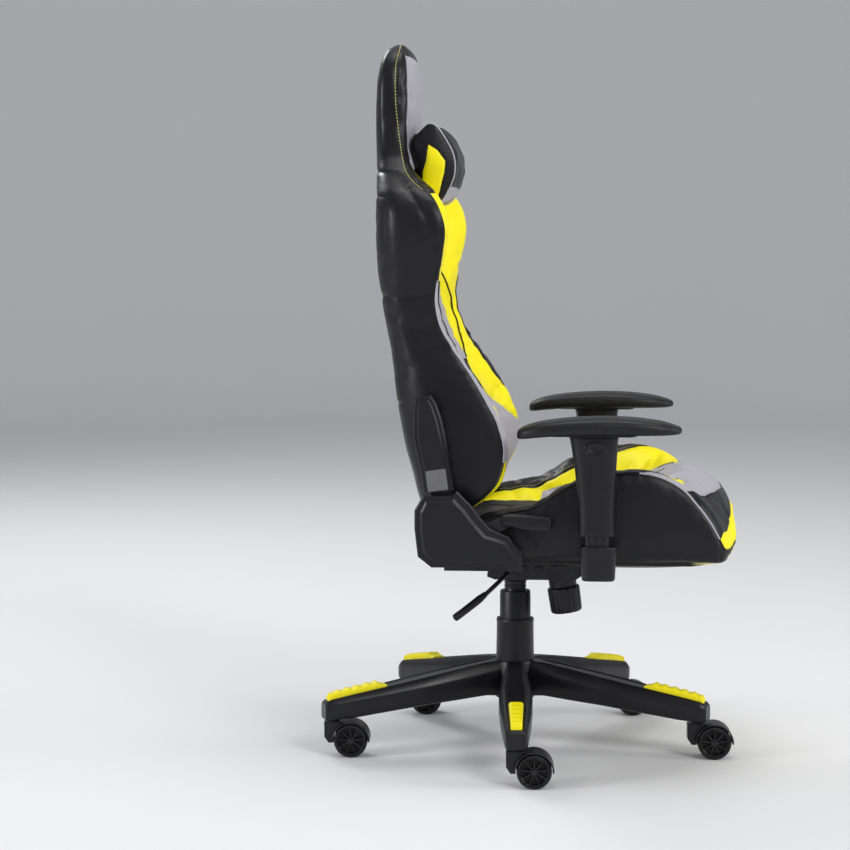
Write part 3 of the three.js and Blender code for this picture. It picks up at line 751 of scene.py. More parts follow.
# The back. Rows: height, rear, side seam, bolster crest, middle, half width, half width of the well.
BACK_ROWS = np.array([
    [455, -150, -90, -88, -98, 238, 118], [467, -154, -63, -60, -97, 249, 121],
    [485, -160, -39, -34, -96, 254, 124], [505, -166, -22, -16, -94, 255, 126],
    [530, -173, -12, -6, -92, 255, 128], [560, -182, -8, -3, -90, 255, 130],
    [606, -191, -18, -12, -92, 255, 130], [648, -198, -39, -33, -98, 254, 130],
    [698, -203, -69, -64, -110, 251, 132], [743, -209, -100, -96, -124, 247, 136],
    [783, -216, -121, -117, -138, 247, 142], [819, -222, -127, -123, -148, 250, 148],
    [869, -229, -121, -117, -156, 258, 152], [905, -231, -114, -110, -161, 266, 152],
    [945, -232, -111, -106, -165, 271, 148], [975, -232, -120, -112, -168, 268, 142],
    [1000, -232, -135, -126, -170, 254, 132], [1022, -233, -163, -150, -172, 226, 118],
    [1045, -236, -182, -173, -174, 192, 104], [1070, -238, -190, -184, -176, 166, 95],
    [1110, -240, -197, -188, -178, 152, 92], [1163, -240, -202, -188, -179, 153, 92],
    [1206, -238, -203, -188, -180, 150, 90], [1233, -233, -202, -190, -182, 140, 84],
    [1251, -226, -199, -193, -187, 122, 74], [1262, -216, -200, -198, -194, 92, 58],
    [1268, -210, -204, -203, -202, 52, 34],
], float)


def back_panels(row):
    _, rear, side, crest, middle, half, well = row
    foot = mix(crest, middle, 0.97)
    hidden = [[0, rear], [half * 0.55, rear + 1], [half * 0.9, mix(rear, side, 0.06)],
              [half * 0.98, mix(rear, side, 0.24)], [half, mix(rear, side, 0.6)], [half * 0.99, side]]
    bolster = [[half * 0.99, side], [half * 0.92, crest], [half * 0.83, mix(crest, middle, 0.12)],
               [mix(half * 0.83, well, 0.6), mix(crest, middle, 0.7)], [well, foot]]
    return hidden, bolster, [[well, foot], [well * 0.5, middle], [0, middle]]


# Seams across the bolsters, as (height, share of the way from the side seam to the foot).
SWEEP = np.array([  # the long piping from the foot above the waist down to the lower bolster
    [467, 0.16], [491, 0.17], [520, 0.13], [548, 0.05], [562, 0.04], [578, 0.14], [593, 0.32], [613, 0.48],
    [634, 0.66], [672, 0.78], [701, 0.79], [756, 0.64], [788, 0.54], [806, 0.51], [824, 0.62], [845, 0.76],
    [863, 0.88], [880, 1.0],
])
EDGE_LIGHT = np.array([  # the light strip beside the side seam at the waist, ending in a short piping
    [540, 0.0], [556, 0.13], [640, 0.13], [700, 0.06], [741, 0.20], [770, 0.27], [800, 0.26], [830, 0.17],
    [853, 0.06], [862, 0.0],
])
CREST_BAND = np.array([  # the edge of the black band on the crest
    [556, 0.0], [600, 0.10], [640, 0.13], [660, 0.28], [700, 0.36], [730, 0.34], [752, 0.28], [772, 0.17],
    [800, 0.0],
])
STRIP = np.array([  # the inner edge of the waist's yellow strip
    [690, 0.71], [700, 0.74], [720, 0.84], [740, 0.93], [766, 0.92], [800, 0.93], [830, 0.92], [850, 0.90],
    [862, 0.885],
])
HEAD_EDGE = np.array([[1046, 1.62], [1060, 1.5], [1235, 1.5], [1262, 1.2]])   # (height, q) beside the panel
HEAD_FROM = 1030
STRIP_FROM = 697
SWEEP_MEETS_SIDE = 812.0   # above this height the yellow reaches the side seam
INSERT = 0.60       # the dark insert's edge, as a share of the way from the foot to the middle
CHEVRON, WAIST_LOW, PATCH_TOP, PATCH_LOW = 880.0, 742.0, 646.0, 492.0
PANEL_LOW, PANEL_TOP = 1046.0, 1246.0   # the head's light panel


def by_height(line, along):
    return np.interp(along, line[:, 0], line[:, 1])


BACK_LINES = {
    "sweep": lambda z, q: q - 1 - by_height(SWEEP, z),
    "band": lambda z, q: q - 1 - by_height(CREST_BAND, z),
    "strip": lambda z, q: q - 1 - by_height(STRIP, z),
    "insert": lambda z, q: q - 2 - INSERT,
    "head": lambda z, q: np.where(z > HEAD_FROM, q - by_height(HEAD_EDGE, z), -1.0),
    "neck": lambda z, q: z - np.interp(q, [1, 1.5, 2, 3], [1004, 1004, 1030, PANEL_LOW]),
    "patch": lambda z, q: z - PATCH_TOP,
    "waist": lambda z, q: z - WAIST_LOW + 60 * np.clip(q - 1, 0, 0.73) - 10 * np.clip(q - 2, 0, 1),
    "edge": lambda z, q: q - 1 - by_height(EDGE_LIGHT, z),
    "chevron": lambda z, q: z - CHEVRON - 50 * np.clip(q - 2, 0, 1),
}


def back_colour(at):
    z, q = at["along"], at["q"]
    if q < 1:
        return "black_leather"
    if at["neck"] > 0:
        return "light_leather" if at["head"] > 0 and PANEL_LOW < z < PANEL_TOP else "black_leather"
    light_side = at["patch"] < 0 and z > PATCH_LOW
    if q > 2:
        if at["waist"] < 0:
            return "light_leather" if at["insert"] < 0 and light_side else "black_leather"
        if at["chevron"] < 0:
            return "light_leather"
        return "yellow_leather" if at["insert"] < 0 else "black_leather"
    if at["edge"] < 0 and EDGE_LIGHT[0, 0] < z < EDGE_LIGHT[-1, 0]:
        return "light_leather"
    if z > SWEEP_MEETS_SIDE and at["sweep"] < 0 or z > CHEVRON:
        return "yellow_leather"
    if at["band"] < 0 and CREST_BAND[0, 0] < z < CREST_BAND[-1, 0]:
        return "black_leather"
    if at["sweep"] < 0 or at["strip"] < 0 and z > STRIP_FROM:
        return "yellow_leather"
    return "light_leather" if at["waist"] > 0 or light_side else "black_leather"


ROLL_SEAM = np.array([  # the curved seam behind the shoulder's roll, as (forward, height)
    [-196, 1040], [-183, 1023], [-168, 1001], [-153, 980], [-142, 958], [-134, 932], [-128, 900],
    [-128, 868], [-134, 830],
])
ZIP_SEAM = np.array([[-213, 1000], [-213, 949], [-207, 873], [-203, 807], [-193, 720], [-181, 640]])


def side_route(seam, side):
    """A route on the side panel through (forward, height) points."""
    points = evenly(seam, 60)
    half = np.interp(points[:, 1], BACK_ROWS[:, 0], BACK_ROWS[:, 5])
    return np.stack([points[:, 0], side * half, points[:, 1]], 1)


OFF = 40.0   # the value of a line where it does not run


def seam_field(seam):
    """Signed distance forward of a side-panel seam, OFF beyond its ends."""
    low, high = seam[:, 1].min(), seam[:, 1].max()
    order = np.argsort(seam[:, 1])

    def field(z, x):
        return np.where((z > low) & (z < high), x - np.interp(z, seam[order, 1], seam[order, 0]), OFF)
    return field


def back_cushion():
    back = sectioned("back_cushion_cover", BACK_ROWS, back_panels, (40, 26, 17), 6.6,
                     lambda along, across, depth: np.stack([depth, across, along], -1))
    back.simulate(back.pins(0.55, 0.6), hidden=0.35)
    forward = back.points[..., 0]
    roll, zipper = seam_field(ROLL_SEAM), seam_field(ZIP_SEAM)
    lines = dict(BACK_LINES)
    lines["roll"] = lambda z, p: np.where((p > 0.3) & (p < 1), roll(z, forward), OFF)
    lines["zipper"] = lambda z, p: np.where((p > 0.3) & (p < 1), zipper(z, forward), OFF)

    def pick(layers, bm):
        line, column = pickers(layers, bm, 0.0)
        return [
            (column(1.0), 1.6, 3.2), (column(2.0, 470, 1040), 2.6, 4.5),
            (line("sweep", 470, 878, 1.01, 1.99), 2.2, 3.6), (line("band", 560, 785, 1.01), 1.2, 3.0),
            (line("insert", 470, 1030), 2.0, 4.0), (line("head", 1050, 1262), 1.8, 3.6),
            (line("neck", 0, 1300, 1.0), 1.8, 3.4), (line("patch", 0, 1300, 1.7, 2.6), 1.2, 3.0),
            (line("chevron", 0, 1300, 2.0), 2.0, 3.6), (line("waist", 0, 1300, 2.0), 2.0, 3.6),
            (line("roll"), 2.6, 4.6), (line("zipper"), 1.8, 3.2), (line("strip", 700, 860), 0.7, 2.5),
        ]
    back.build(lines, back_colour, ["black_leather", "yellow_leather", "light_leather"], pick, 3.0,
               "back", "black_leather", "back_cushion", 0.9)
    return back


def back_trim(back):
    """Piping and stitching on the back."""
    z_side = np.linspace(462, 1262, 170)
    z_foot = np.linspace(650, 1040, 90)
    yellow, dark = [], []
    for word, side in SIDES.items():
        seam = back.read(z_side, 1.0, side)
        head = back.read(np.linspace(1010, 1264, 70), 0.985, side)
        yellow += stitch_parts(back, head, radius=0.75, length=3.8)
        # The waist's piping is light grey leather; its light colour also paints the highlight that runs along
        # the side seam there: painted highlight.
        for part, inside, look in (("low", z_side < 546, "black_leather"),
                                   ("high", (z_side > 850) & (z_side < 1050), "black_leather"),
                                   ("waist", (z_side > 540) & (z_side < 856), "light_leather")):
            piping(f"back_piping_{part}_{word}", back, seam[inside], 1.6, look, lift=0.2)
        edge = evenly(EDGE_LIGHT[4:-1], 30)
        piping(f"back_edge_piping_{word}", back, back.read(edge[:, 0], 1 + edge[:, 1], side), 1.7)
        sweep = back.read(SWEEP[10:, 0][::-1], 1 + SWEEP[10:, 1][::-1], side)
        piping(f"back_sweep_piping_{word}", back, sweep, 1.9)
        foot = back.read(z_foot, 2.0, side)
        piping(f"back_foot_piping_{word}", back, foot, 1.9)
        for offset in (-0.04, 0.04):
            for reach in (np.linspace(480, 690, 50), np.linspace(900, 1030, 40)):
                dark += stitch_parts(back, back.read(reach, 2 + INSERT + offset, side), radius=0.45)
        for seam_points, shift in ((ROLL_SEAM, -3.2), (ZIP_SEAM, 3.0)):
            route = side_route(seam_points, side)
            route[:, 0] += shift
            dark += stitch_parts(back, route, radius=0.4)
    thread_pieces(back, yellow, dark)


# The seat. Rows: forward, underside, side seam, bolster crest, middle, half width, half width of the well.
SEAT_ROWS = np.array([
    [-128, 377, 390, 392, 394, 226, 138], [-118, 371, 406, 409, 411, 236, 142],
    [-98, 370, 420, 423, 424, 243, 145], [-53, 370, 446, 450, 431, 250, 148],
    [0, 370, 458, 462, 430, 255, 150], [40, 370, 467, 472, 431, 256, 152],
    [62, 370, 479, 484, 434, 257, 152], [90, 370, 498, 503, 438, 257, 152],
    [125, 370, 516, 519, 446, 258, 152], [186, 370, 529, 531, 466, 258, 152],
    [224, 370, 529, 531, 480, 258, 150], [248, 370, 525, 527, 490, 258, 148],
    [273, 370, 516, 518, 502, 257, 146], [302, 370, 497, 500, 510, 257, 144],
    [325, 370, 470, 482, 512, 255, 142], [345, 370, 442, 460, 507, 251, 140],
    [359, 371, 416, 438, 496, 246, 138], [369, 374, 396, 420, 483, 238, 132],
    [378, 380, 392, 408, 467, 216, 124], [387, 390, 396, 404, 448, 178, 108],
    [394, 404, 407, 411, 426, 124, 84],
], float)


def seat_panels(row):
    _, low, side, crest, middle, half, well = row
    hidden = [[0, low], [half * 0.9, low], [half * 0.98, low + (side - low) * 0.07],
              [half, mix(low, side, 0.3)], [half, mix(low, side, 0.85)], [half * 0.99, side]]
    foot = mix(middle, crest, 0.42) if middle > crest else min(middle + 2, mix(crest, middle, 0.9))
    bolster = [[half * 0.99, side], [half * 0.915, crest], [half * 0.82, mix(crest, foot, 0.12)],
               [mix(half * 0.82, well, 0.6), mix(crest, foot, 0.7)], [well, foot]]
    return hidden, bolster, [[well, foot], [well * 0.5, mix(middle, foot, 0.25)], [0, middle]]


# Seams on the seat, as (forward, share of the way from the side seam to the foot).
SEAT_BAND = np.array([[-110, 0.66], [-37, 0.63], [37, 0.59], [98, 0.52], [189, 0.42], [222, 0.31],
                      [246, 0.23], [300, 0.20]])
SEAT_LIGHT = np.array([[37, 0.71], [81, 0.76], [115, 1.0]])
NOSE_REAR = np.array([[1.0, 222], [1.12, 240], [1.2, 290], [1.36, 298], [1.9, 300], [2.1, 284], [2.4, 256],
                      [3.0, 246]])
NOSE_FRONT = np.array([[1.0, 303], [1.21, 313], [1.41, 327], [1.76, 342], [2.0, 351], [2.15, 357],
                       [2.5, 367], [3.0, 374]])
FRONT_TRIM = np.array([[1.0, 361], [1.5, 374], [2.0, 383.5], [2.4, 384.5], [3.0, 384.5]])
TRIM_UNDER = np.array([[300, 0.58], [345, 0.74], [369, 0.88], [378, 0.95], [394, 0.97]])


def by_q(line, q):
    return np.interp(q, line[:, 0], line[:, 1])


SEAT_REAR = -108   # behind this the seat is all black
STEP, STEP_END = 37.0, 120   # where the centre's light panel and the light wedge on the bolster begin and end
UNDER_START = 306   # the yellow edging runs under the nose from here


SEAT_LINES = {
    "band": lambda x, q: q - 1 - by_height(SEAT_BAND, x),
    "light": lambda x, q: np.where(x > STEP, q - 1 - by_height(SEAT_LIGHT, x), -1.0),
    "step": lambda x, q: x - STEP,
    "nose": lambda x, q: x - by_q(NOSE_REAR, np.maximum(q, 1.0)),
    "tip": lambda x, q: x - by_q(NOSE_FRONT, np.maximum(q, 1.0)),
    "insert": lambda x, q: q - 2 - INSERT,
    "trim": lambda x, q: np.where(q < 0.98, -20.0, x - by_q(FRONT_TRIM, q)),
    "under": lambda x, q: np.where(x > 300, by_height(TRIM_UNDER, x) - q, -1.0),
}


def seat_colour(at):
    x, q = at["along"], at["q"]
    if at["trim"] > 0 and q > 1 or at["under"] > 0 and x > UNDER_START:
        return "yellow_leather"
    if q < 1 or x < SEAT_REAR or at["tip"] > 0:
        return "black_leather"
    if at["nose"] > 0:
        return "light_leather"
    if q > 2:
        return "black_leather" if at["insert"] > 0 or x < STEP else "light_leather"
    if at["band"] < 0:
        return "black_leather"
    if STEP < x < STEP_END and at["light"] > 0:
        return "light_leather"
    return "yellow_leather"


def seat_cushion():
    seat = sectioned("seat_cushion_cover", SEAT_ROWS, seat_panels, (44, 26, 17), 6.4,
                     lambda along, across, height: np.stack([along, across, height], -1))
    seat.simulate(seat.pins(0.6, 1.0), hidden=0.5)

    def pick(layers, bm):
        line, column = pickers(layers, bm, 1.0)
        return [
            (column(1.0), 1.8, 3.2), (column(2.0, -120, 292), 2.8, 4.5),
            (line("band", -110, 222), 1.6, 3.2), (line("nose", 215, 305), 1.6, 3.4),
            (line("tip", 300, 380), 1.6, 3.4), (line("insert", -120, 288), 2.0, 4.0),
            (line("step", 30, 44, 1.71, 2.6), 1.0, 3.0), (line("trim", 355, 400, 1.0), 1.2, 3.0),
        ]
    seat.build(SEAT_LINES, seat_colour, ["black_leather", "yellow_leather", "light_leather"], pick, 3.0,
               "seat", "black_leather", "seat_cushion", 0.9)
    return seat


def seat_trim(seat):
    """Piping and stitching on the seat."""
    yellow, dark = [], []
    for word, side in SIDES.items():
        rear = seat.read(np.linspace(-120, 224, 70), 1.0, side)
        front = seat.read(np.r_[np.linspace(222, 300, 24), np.linspace(303, 360, 24)], 1.0, side)
        corner = seat.read(np.linspace(360, 390, 14), 1.0, side)
        piping(f"seat_piping_corner_{word}", seat, corner, 1.7)
        piping(f"seat_piping_rear_{word}", seat, rear, 1.7)
        piping(f"seat_piping_front_{word}", seat, front, 1.9, "light_leather")
        foot = seat.read(np.linspace(-110, 290, 70), 2.0, side)
        piping(f"seat_foot_piping_{word}", seat, foot, 1.9)
        band = evenly(SEAT_BAND[1:-1], 60)
        yellow += stitch_parts(seat, seat.read(band[:, 0], 1 + band[:, 1] - 0.06, side), radius=0.5)
        for offset in (-0.04, 0.04):
            dark += stitch_parts(seat, seat.read(np.linspace(-100, 272, 70), 2 + INSERT + offset, side),
                                 radius=0.45)
    q = np.linspace(1.02, 3.0, 60)
    for word, side in SIDES.items():
        route = seat.read(by_q(NOSE_FRONT, q), q, side)
        piping(f"seat_nose_piping_{word}", seat, route, 1.5)
    thread_pieces(seat, yellow, dark)


# ---------------------------------------------------------------- base and castors

BASE_TURN = radians(2.75)
ARMS = 5
STEM_REACH = 341
WHEEL = {"x": 30, "z": 30, "radius": 30, "inner": 4.5}
HOOD = {"outer": 34, "inner": 31.4, "half": 25.5}
# Rows: distance out, underside, shoulder height, top, half width of the top, half width of the shoulder.
ARM_ROWS = np.array([
    [14, 92, 142, 159.5, 11, 18], [60, 96, 138, 156.5, 14, 22], [110, 92, 131, 148, 17, 27],
    [170, 87, 122, 137, 20, 30], [250, 77, 110, 122, 18, 27], [310, 69, 101, 111, 15.5, 23],
    [350, 66, 95, 103, 13.5, 20], [361, 66, 90, 97, 11.5, 17.5],
], float)


def turned_by(points, angle):
    points = np.asarray(points, float)
    c, s = cos(angle), sin(angle)
    return np.stack([c * points[:, 0] - s * points[:, 1], s * points[:, 0] + c * points[:, 1],
                     points[:, 2]], 1)


def arm_angle(i):
    return radians(-90 + 360 / ARMS * i) + BASE_TURN


def on_arm(i):
    """Turns points along +X out along an arm."""
    return lambda points: turned_by(points, arm_angle(i))


def castor_place(i):
    """Turns a castor's own points (stem at the middle, wheels trailing to +X) into the chair's."""
    stem = np.array([STEM_REACH * cos(arm_angle(i)), STEM_REACH * sin(arm_angle(i)), 0])
    return lambda points: turned_by(points, BASE_TURN) + stem


def plate_part(outline, near, far):
    """A flat plate: an outline of [x, z] points between two values of y."""
    outline = np.asarray(outline, float)
    rings = [np.stack([outline[:, 0], np.full(len(outline), y), outline[:, 1]], 1) for y in (near, far)]
    return loft_part(rings)


def axle_lathe(profile, side, segments=72):
    """A wheel part turned about its axle from [radius, distance out from the wheel's inner face]."""
    points, faces = [], []
    for i in range(segments):
        a = 2 * pi * i / segments
        points.extend([WHEEL["x"] + r * cos(a), side * (WHEEL["inner"] + t),
                       WHEEL["z"] + r * sin(a)] for r, t in profile)
    n = len(profile)
    for i in range(segments):
        faces += quads(i * n, (i + 1) % segments * n, n)
    return np.array(points), faces


def bar_part(start, end, widths, low, high):
    """A tapered bar between two [x, z] points, from side values low to high; widths at both ends."""
    start, end = np.array(start, float), np.array(end, float)
    along = (end - start) / np.linalg.norm(end - start)
    across = np.array([-along[1], along[0]])
    rings = []
    for point, width in ((start, widths[0]), (end, widths[1])):
        a, b = point - across * width / 2, point + across * width / 2
        top_a, top_b = point - across * width * 0.32, point + across * width * 0.32
        rings.append([[a[0], low, a[1]], [b[0], low, b[1]], [top_b[0], high, top_b[1]],
                      [top_a[0], high, top_a[1]]])
    return loft_part(rings)


def wheel(i, word, side):
    """A castor wheel: a crowned tyre and a cover with nine spokes round a hub cap."""
    to = castor_place(i)
    body, node = f"castor_{i + 1}_wheel_{word}", f"castor_wheel_{word}_{i + 1}"
    tyre = [[24, 1], [28.4, 0.6], [29.6, 1.8], [30, 4.2], [30, 15.2], [29.5, 17.6], [28.2, 19.3],
            [26.6, 20],
            [25.2, 19.8], [24.4, 18.8], [24, 17]]
    piece(f"{node}_tyre", [placed(axle_lathe(tyre, side, 96), to)], 40, body, "castor_tread", [node])
    dish = [[5, 1], [24.1, 1], [24.1, 15], [22.9, 15], [22.2, 9.2], [6, 8.2], [5, 8.2]]
    rim = [[22.8, 14], [24.2, 14], [24.2, 18.2], [23.4, 18.6], [22.4, 17.6]]
    hub = [[0.01, 8], [6.4, 8], [6.2, 17.2], [5.4, 18.4], [3.4, 19], [0.01, 19.1]]
    # The dish takes the darkest tread plastic and the spokes, rim and hub a lighter glossy nylon, so the
    # hollow between the spokes reads as shade: painted shade.
    piece(f"{node}_disc", [placed(axle_lathe(dish, side, 72), to)], 35, body, "castor_tread")
    parts = [axle_lathe(rim, side, 72), axle_lathe(hub, side, 32)]
    spokes = 9
    for k in range(spokes):
        a = 2 * pi * (k + 0.25) / spokes
        ends = [[WHEEL["x"] + r * cos(a), WHEEL["z"] + r * sin(a)] for r in (5.4, 23)]
        levels = [side * (WHEEL["inner"] + t) for t in (8.2, 17.4)]
        parts.append(bar_part(*ends, (3.4, 2.2), *levels))
    piece(f"{node}_cover", [placed(part, to) for part in parts], 35, body, "nylon", look=GLOSSY,
          edges=(0.3, 2, 40))


def castor(i):
    """A castor's hood: a faceted block under the arm, a curved guard over the wheels and a web."""
    to = castor_place(i)
    cx, cz = WHEEL["x"], WHEEL["z"]
    arc = [[cx + HOOD["inner"] * cos(a), cz + HOOD["inner"] * sin(a)] for a in np.linspace(radians(101),
                                                                                           radians(189), 14)]
    neck = [[24, 62.3], *arc, [-10, 24.6], [-17.5, 35.6], [-17.8, 62.3]]
    parts = [plate_part(neck, -12.4, 12.4)]
    angles = np.linspace(radians(-3), radians(178), 48)
    band = []
    for a in angles:
        c, s = cos(a), sin(a)
        outer, inner, half = HOOD["outer"], HOOD["inner"], HOOD["half"]
        band.append([[cx + r * c, y, cz + r * s] for r, y in (
            (inner, -half), (outer - 1.2, -half), (outer, -half + 1.6), (outer, half - 1.6),
            (outer - 1.2, half), (inner, half))])
    parts.append(loft_part(band))
    web = [[cx + 27 * cos(a), cz + 27 * sin(a)] for a in circle(40)]
    parts.append(plate_part(web, -3.4, 3.4))
    spine = [[2, 30], [cx, 22], [56, 34], [48, 55], [cx, 62], [4, 60]]
    parts.append(plate_part(spine, -3.2, 3.2))
    parts.append(lathe_part([[0.01, 55], [5.5, 55], [5.5, 90], [0.01, 90]], 24))
    parts.append(lathe_part([[0.01, 60], [9.5, 60], [9.5, 64.2], [8.6, 65.2], [0.01, 65.2]], 32))
    piece(f"castor_hood_{i + 1}_shell", [placed(part, to) for part in parts], 32, f"castor_{i + 1}",
          "nylon", [f"castor_hood_{i + 1}"], edges=(0.7, 2, 38))
    for word, side in SIDES.items():
        wheel(i, word, side)


def arm_row(x):
    return np.array([np.interp(x, ARM_ROWS[:, 0], ARM_ROWS[:, k]) for k in range(6)])


def star_base():
    """Five arms with chamfered shoulders and a recessed top, round a hub."""
    for i in range(ARMS):
        xs = np.r_[np.linspace(14, 236, 26), np.linspace(240, 356, 16), 359, 361]
        rings = []
        for x in xs:
            _, low, shoulder, top, narrow, wide = arm_row(x)
            end = 0.0 if x < 356 else (x - 356) / 5
            low, top, wide = low + 1.5 * end, top - 2.0 * end, wide - 1.4 * end
            dip = 1.6 * np.clip((x - 40) / 20, 0, 1) * np.clip((356 - x) / 6, 0, 1)
            half = [[0, low], [wide - 5, low], [wide - 1.4, low + 1.6], [wide, low + 6],
                    [wide, shoulder - 2],
                    [wide - 1.0, shoulder + 1.4], [narrow + 1.2, top - 1.2], [narrow, top],
                    [narrow - 2.2, top - 0.2], [narrow - 3.4, top - dip], [0, top - dip]]
            rings.append([[x, y, z] for y, z in mirrored(half)])
        piece(f"base_arm_{i + 1}", [placed(loft_part(rings), on_arm(i))], 28, "base", "nylon",
              ["star_base"] if i == 0 else [])
    hub = [[25.4, 90], [34, 88.4], [36.4, 90], [37, 93], [37, 154], [35.5, 157], [25.4, 157]]
    piece("base_hub", [lathe_part(hub, 96)], 35, "base", "nylon")
    for i in range(ARMS):
        foot_pad(i)


def foot_pad(i):
    """A yellow tread on an arm's sloping end, with five cross ribs smoothed down by use."""
    first, last = 246, 354
    rings = []
    for t in np.linspace(0, 1, 64):
        x = mix(first, last, t)
        rise = min(1, t / 0.18, (1 - t) / 0.05 + 0.25)
        height = 1.0 + rise * (8.3 + 1.3 * cos(t * 12 * pi))
        low = arm_row(x)[3] - 0.9
        half = mix(13.0, 9.8, t) * (1 if 0.01 < t < 0.985 else 0.93)
        h = height + 1.7
        line = [[0, low], [half, low], [half, low + h * 0.55], [half * 0.95, low + h * 0.8],
                [half * 0.84, low + h * 0.94],
                [half * 0.68, low + h], [half * 0.3, low + h * 1.01], [0, low + h * 1.01]]
        rings.append([[x, y, z] for y, z in mirrored(line)])
    piece(f"foot_pad_{i + 1}_tread", [placed(loft_part(rings), on_arm(i))], 45, "base", "yellow_trim",
          [f"foot_pad_{i + 1}"])


# ---------------------------------------------------------------- gas lift and mechanism

def lathe_piece(name, profile, body, slot, replaces=(), segments=96):
    return piece(name, [lathe_part(profile, segments)], 35, body, slot, replaces)


def gas_lift():
    lathe_piece("lift_cover_lower", [
        [31.5, 158], [34.5, 158], [34.4, 166], [33.6, 226], [34.0, 227.2], [34.0, 232.6], [33.2, 234],
        [29.6, 234],
        [28.6, 233.4], [28.6, 230], [31, 229],
    ], "base", "cover_plastic", ["column_cover_lower"])
    lathe_piece("lift_cover_middle", [
        [25.6, 191], [28, 191], [28, 276], [27.6, 277], [27.6, 282.6], [26.6, 284.6], [22, 285],
        [20.6, 284.4],
        [20.6, 281.4], [25.5, 280],
    ], "column_sleeve", "cover_plastic", ["column_cover_middle"])
    collar = [[15.1, 251], [19.9, 251], [19.9, 287], [19.2, 288], [19.2, 290], [20, 291], [20, 294],
              [19.2, 295],
              [19.2, 297], [20, 298], [20, 302.4], [18.8, 303.4], [15.1, 303.4]]
    lathe_piece("lift_cover_upper", collar, "mechanism", "cover_plastic", ["column_cover_upper"])
    lathe_piece("lift_cylinder", [[6.2, 126], [13.2, 126], [14, 127], [14, 335], [13.2, 336], [6.2, 336]],
                "mechanism", "chrome", ["gas_cylinder"], segments=64)
    lathe_piece("lift_tube", [[14.6, 71], [24.2, 70.4], [25, 71.4], [25, 207.4], [24.4, 208], [14.6, 208]],
                "base", "dark_steel", ["gas_spring_tube"], segments=64)


KNOB = {"x": 84, "z": 315, "lean": radians(8.3), "radius": 29.5}


def leaning(points):
    """Points round the knob's own axis, turned to the chair's."""
    points = np.asarray(points, float)
    c, s = cos(KNOB["lean"]), sin(KNOB["lean"])
    return np.stack([KNOB["x"] + points[:, 0] * c - points[:, 2] * s, points[:, 1],
                     KNOB["z"] + points[:, 0] * s + points[:, 2] * c], 1)


def tension_knob():
    """A tapered knob with twelve shallow flutes and rounded edges."""
    levels = [(-70, 0.80), (-69.2, 0.88), (-67.4, 0.94), (-64.6, 0.97), (-50, 0.985), (-30, 1.0),
              (-26.4, 1.0), (-24.4, 0.975),
              (-23.2, 0.93)]
    rings = []
    for z, share in levels:
        ring = []
        for k in range(144):
            a = 2 * pi * k / 144
            flute = 1.5 * max(0.0, cos(12 * a)) ** 1.5 if -68 < z < -25 else 0
            r = KNOB["radius"] * share - flute
            ring.append([r * cos(a), r * sin(a), z])
        rings.append(ring)
    grip = loft_part(rings)
    cap = lathe_part([[0.01, -70], [17, -70.0], [18.4, -70.4], [20, -70.4], [21, -69.6], [21, -66],
                      [0.01, -66]], 72)
    stem = lathe_part([[0.01, -25], [5.4, -25], [5.4, 8], [0.01, 8]], 24)
    parts = [placed(part, leaning) for part in (grip, cap, stem)]
    piece("tension_knob_grip", parts, 32, "tension_knob", "cover_plastic", ["tension_knob"])


def release_lever():
    """The height lever: a bent rod with a flattened paddle grip."""
    path = [[-12, -28, 327], [-12, -60, 327], [-12, -92, 327], [-17, -116, 324], [-31, -134, 312],
            [-46, -147, 299]]
    piece("height_lever_rod", [tube_part(evenly(path, 60), 4, 16)], 50, "height_lever", "dark_steel",
          ["lever_rod"])
    spine = evenly([[-44, -145.5, 301], [-60, -159, 289], [-80, -176, 275], [-100, -193, 261.5]], 40)
    along = spine[-1] - spine[0]
    along /= np.linalg.norm(along)
    wide = np.cross(along, [0, 1, 0])
    wide /= np.linalg.norm(wide)
    thin = np.cross(along, wide)
    rings = []
    for t, centre in zip(np.linspace(0, 1, 40), spine):
        end = max(0.0, 1 - t / 0.06, (t - 0.94) / 0.06)
        size = (1 - end ** 2) ** 0.5 if end < 1 else 0.02
        w, h = (4.4 + 2.4 * min(1, t / 0.22)) * max(size, 0.03), 4.4 * max(size, 0.03)
        rings.append([centre + wide * w * cos(a) + thin * h * sin(a) for a in circle(24)])
    piece("height_lever_grip", [loft_part(rings)], 60, "height_lever", "cover_plastic", ["lever_grip"])


def bolt_part(x, z, face, side, radius):
    """A hexagon socket screw in the XZ plane, sunk into a face at distance `face` from the middle."""
    points, faces = [], []
    profile = [(radius, -2.6), (radius, 0.0), (radius - 0.8, 0.9), (radius * 0.58, 1.0),
               (radius * 0.52, 0.4),
               (radius * 0.5, -1.8), (0.01, -1.8)]
    segments = 36
    for k in range(segments):
        a = 2 * pi * k / segments
        hexagon = cos(pi / 6) / cos((a % (pi / 3)) - pi / 6)
        for j, (r, out) in enumerate(profile):
            r = r * hexagon if j >= 4 else r
            points.append([x + r * cos(a), side * (face + out), z + r * sin(a)])
    n = len(profile)
    for k in range(segments):
        m = (k + 1) % segments
        faces.extend([k * n + j, m * n + j, m * n + j + 1, k * n + j + 1] for j in range(n - 1))
    return points, faces


# ---------------------------------------------------------------- hinge covers and the recline lever

LOWER_COVER = [
    [-131.5, 366.5], [15.5, 368], [24, 381], [1.5, 420], [-31.5, 434], [-48, 452.5], [-65, 475], [-88, 498],
    [-98, 489], [-147, 489], [-160.5, 465], [-160.5, 433], [-155, 385],
]
UPPER_COVER = [
    [-133.5, 661], [-124, 646], [-115, 619], [-108, 588], [-101, 543], [-94, 497.5], [-145.5, 493],
    [-152, 532],
    [-164, 588], [-163.5, 634], [-161, 655],
]

LOWER_FACE, UPPER_FACE = 302.4, 290.4   # how far the covers' outer faces are from the middle


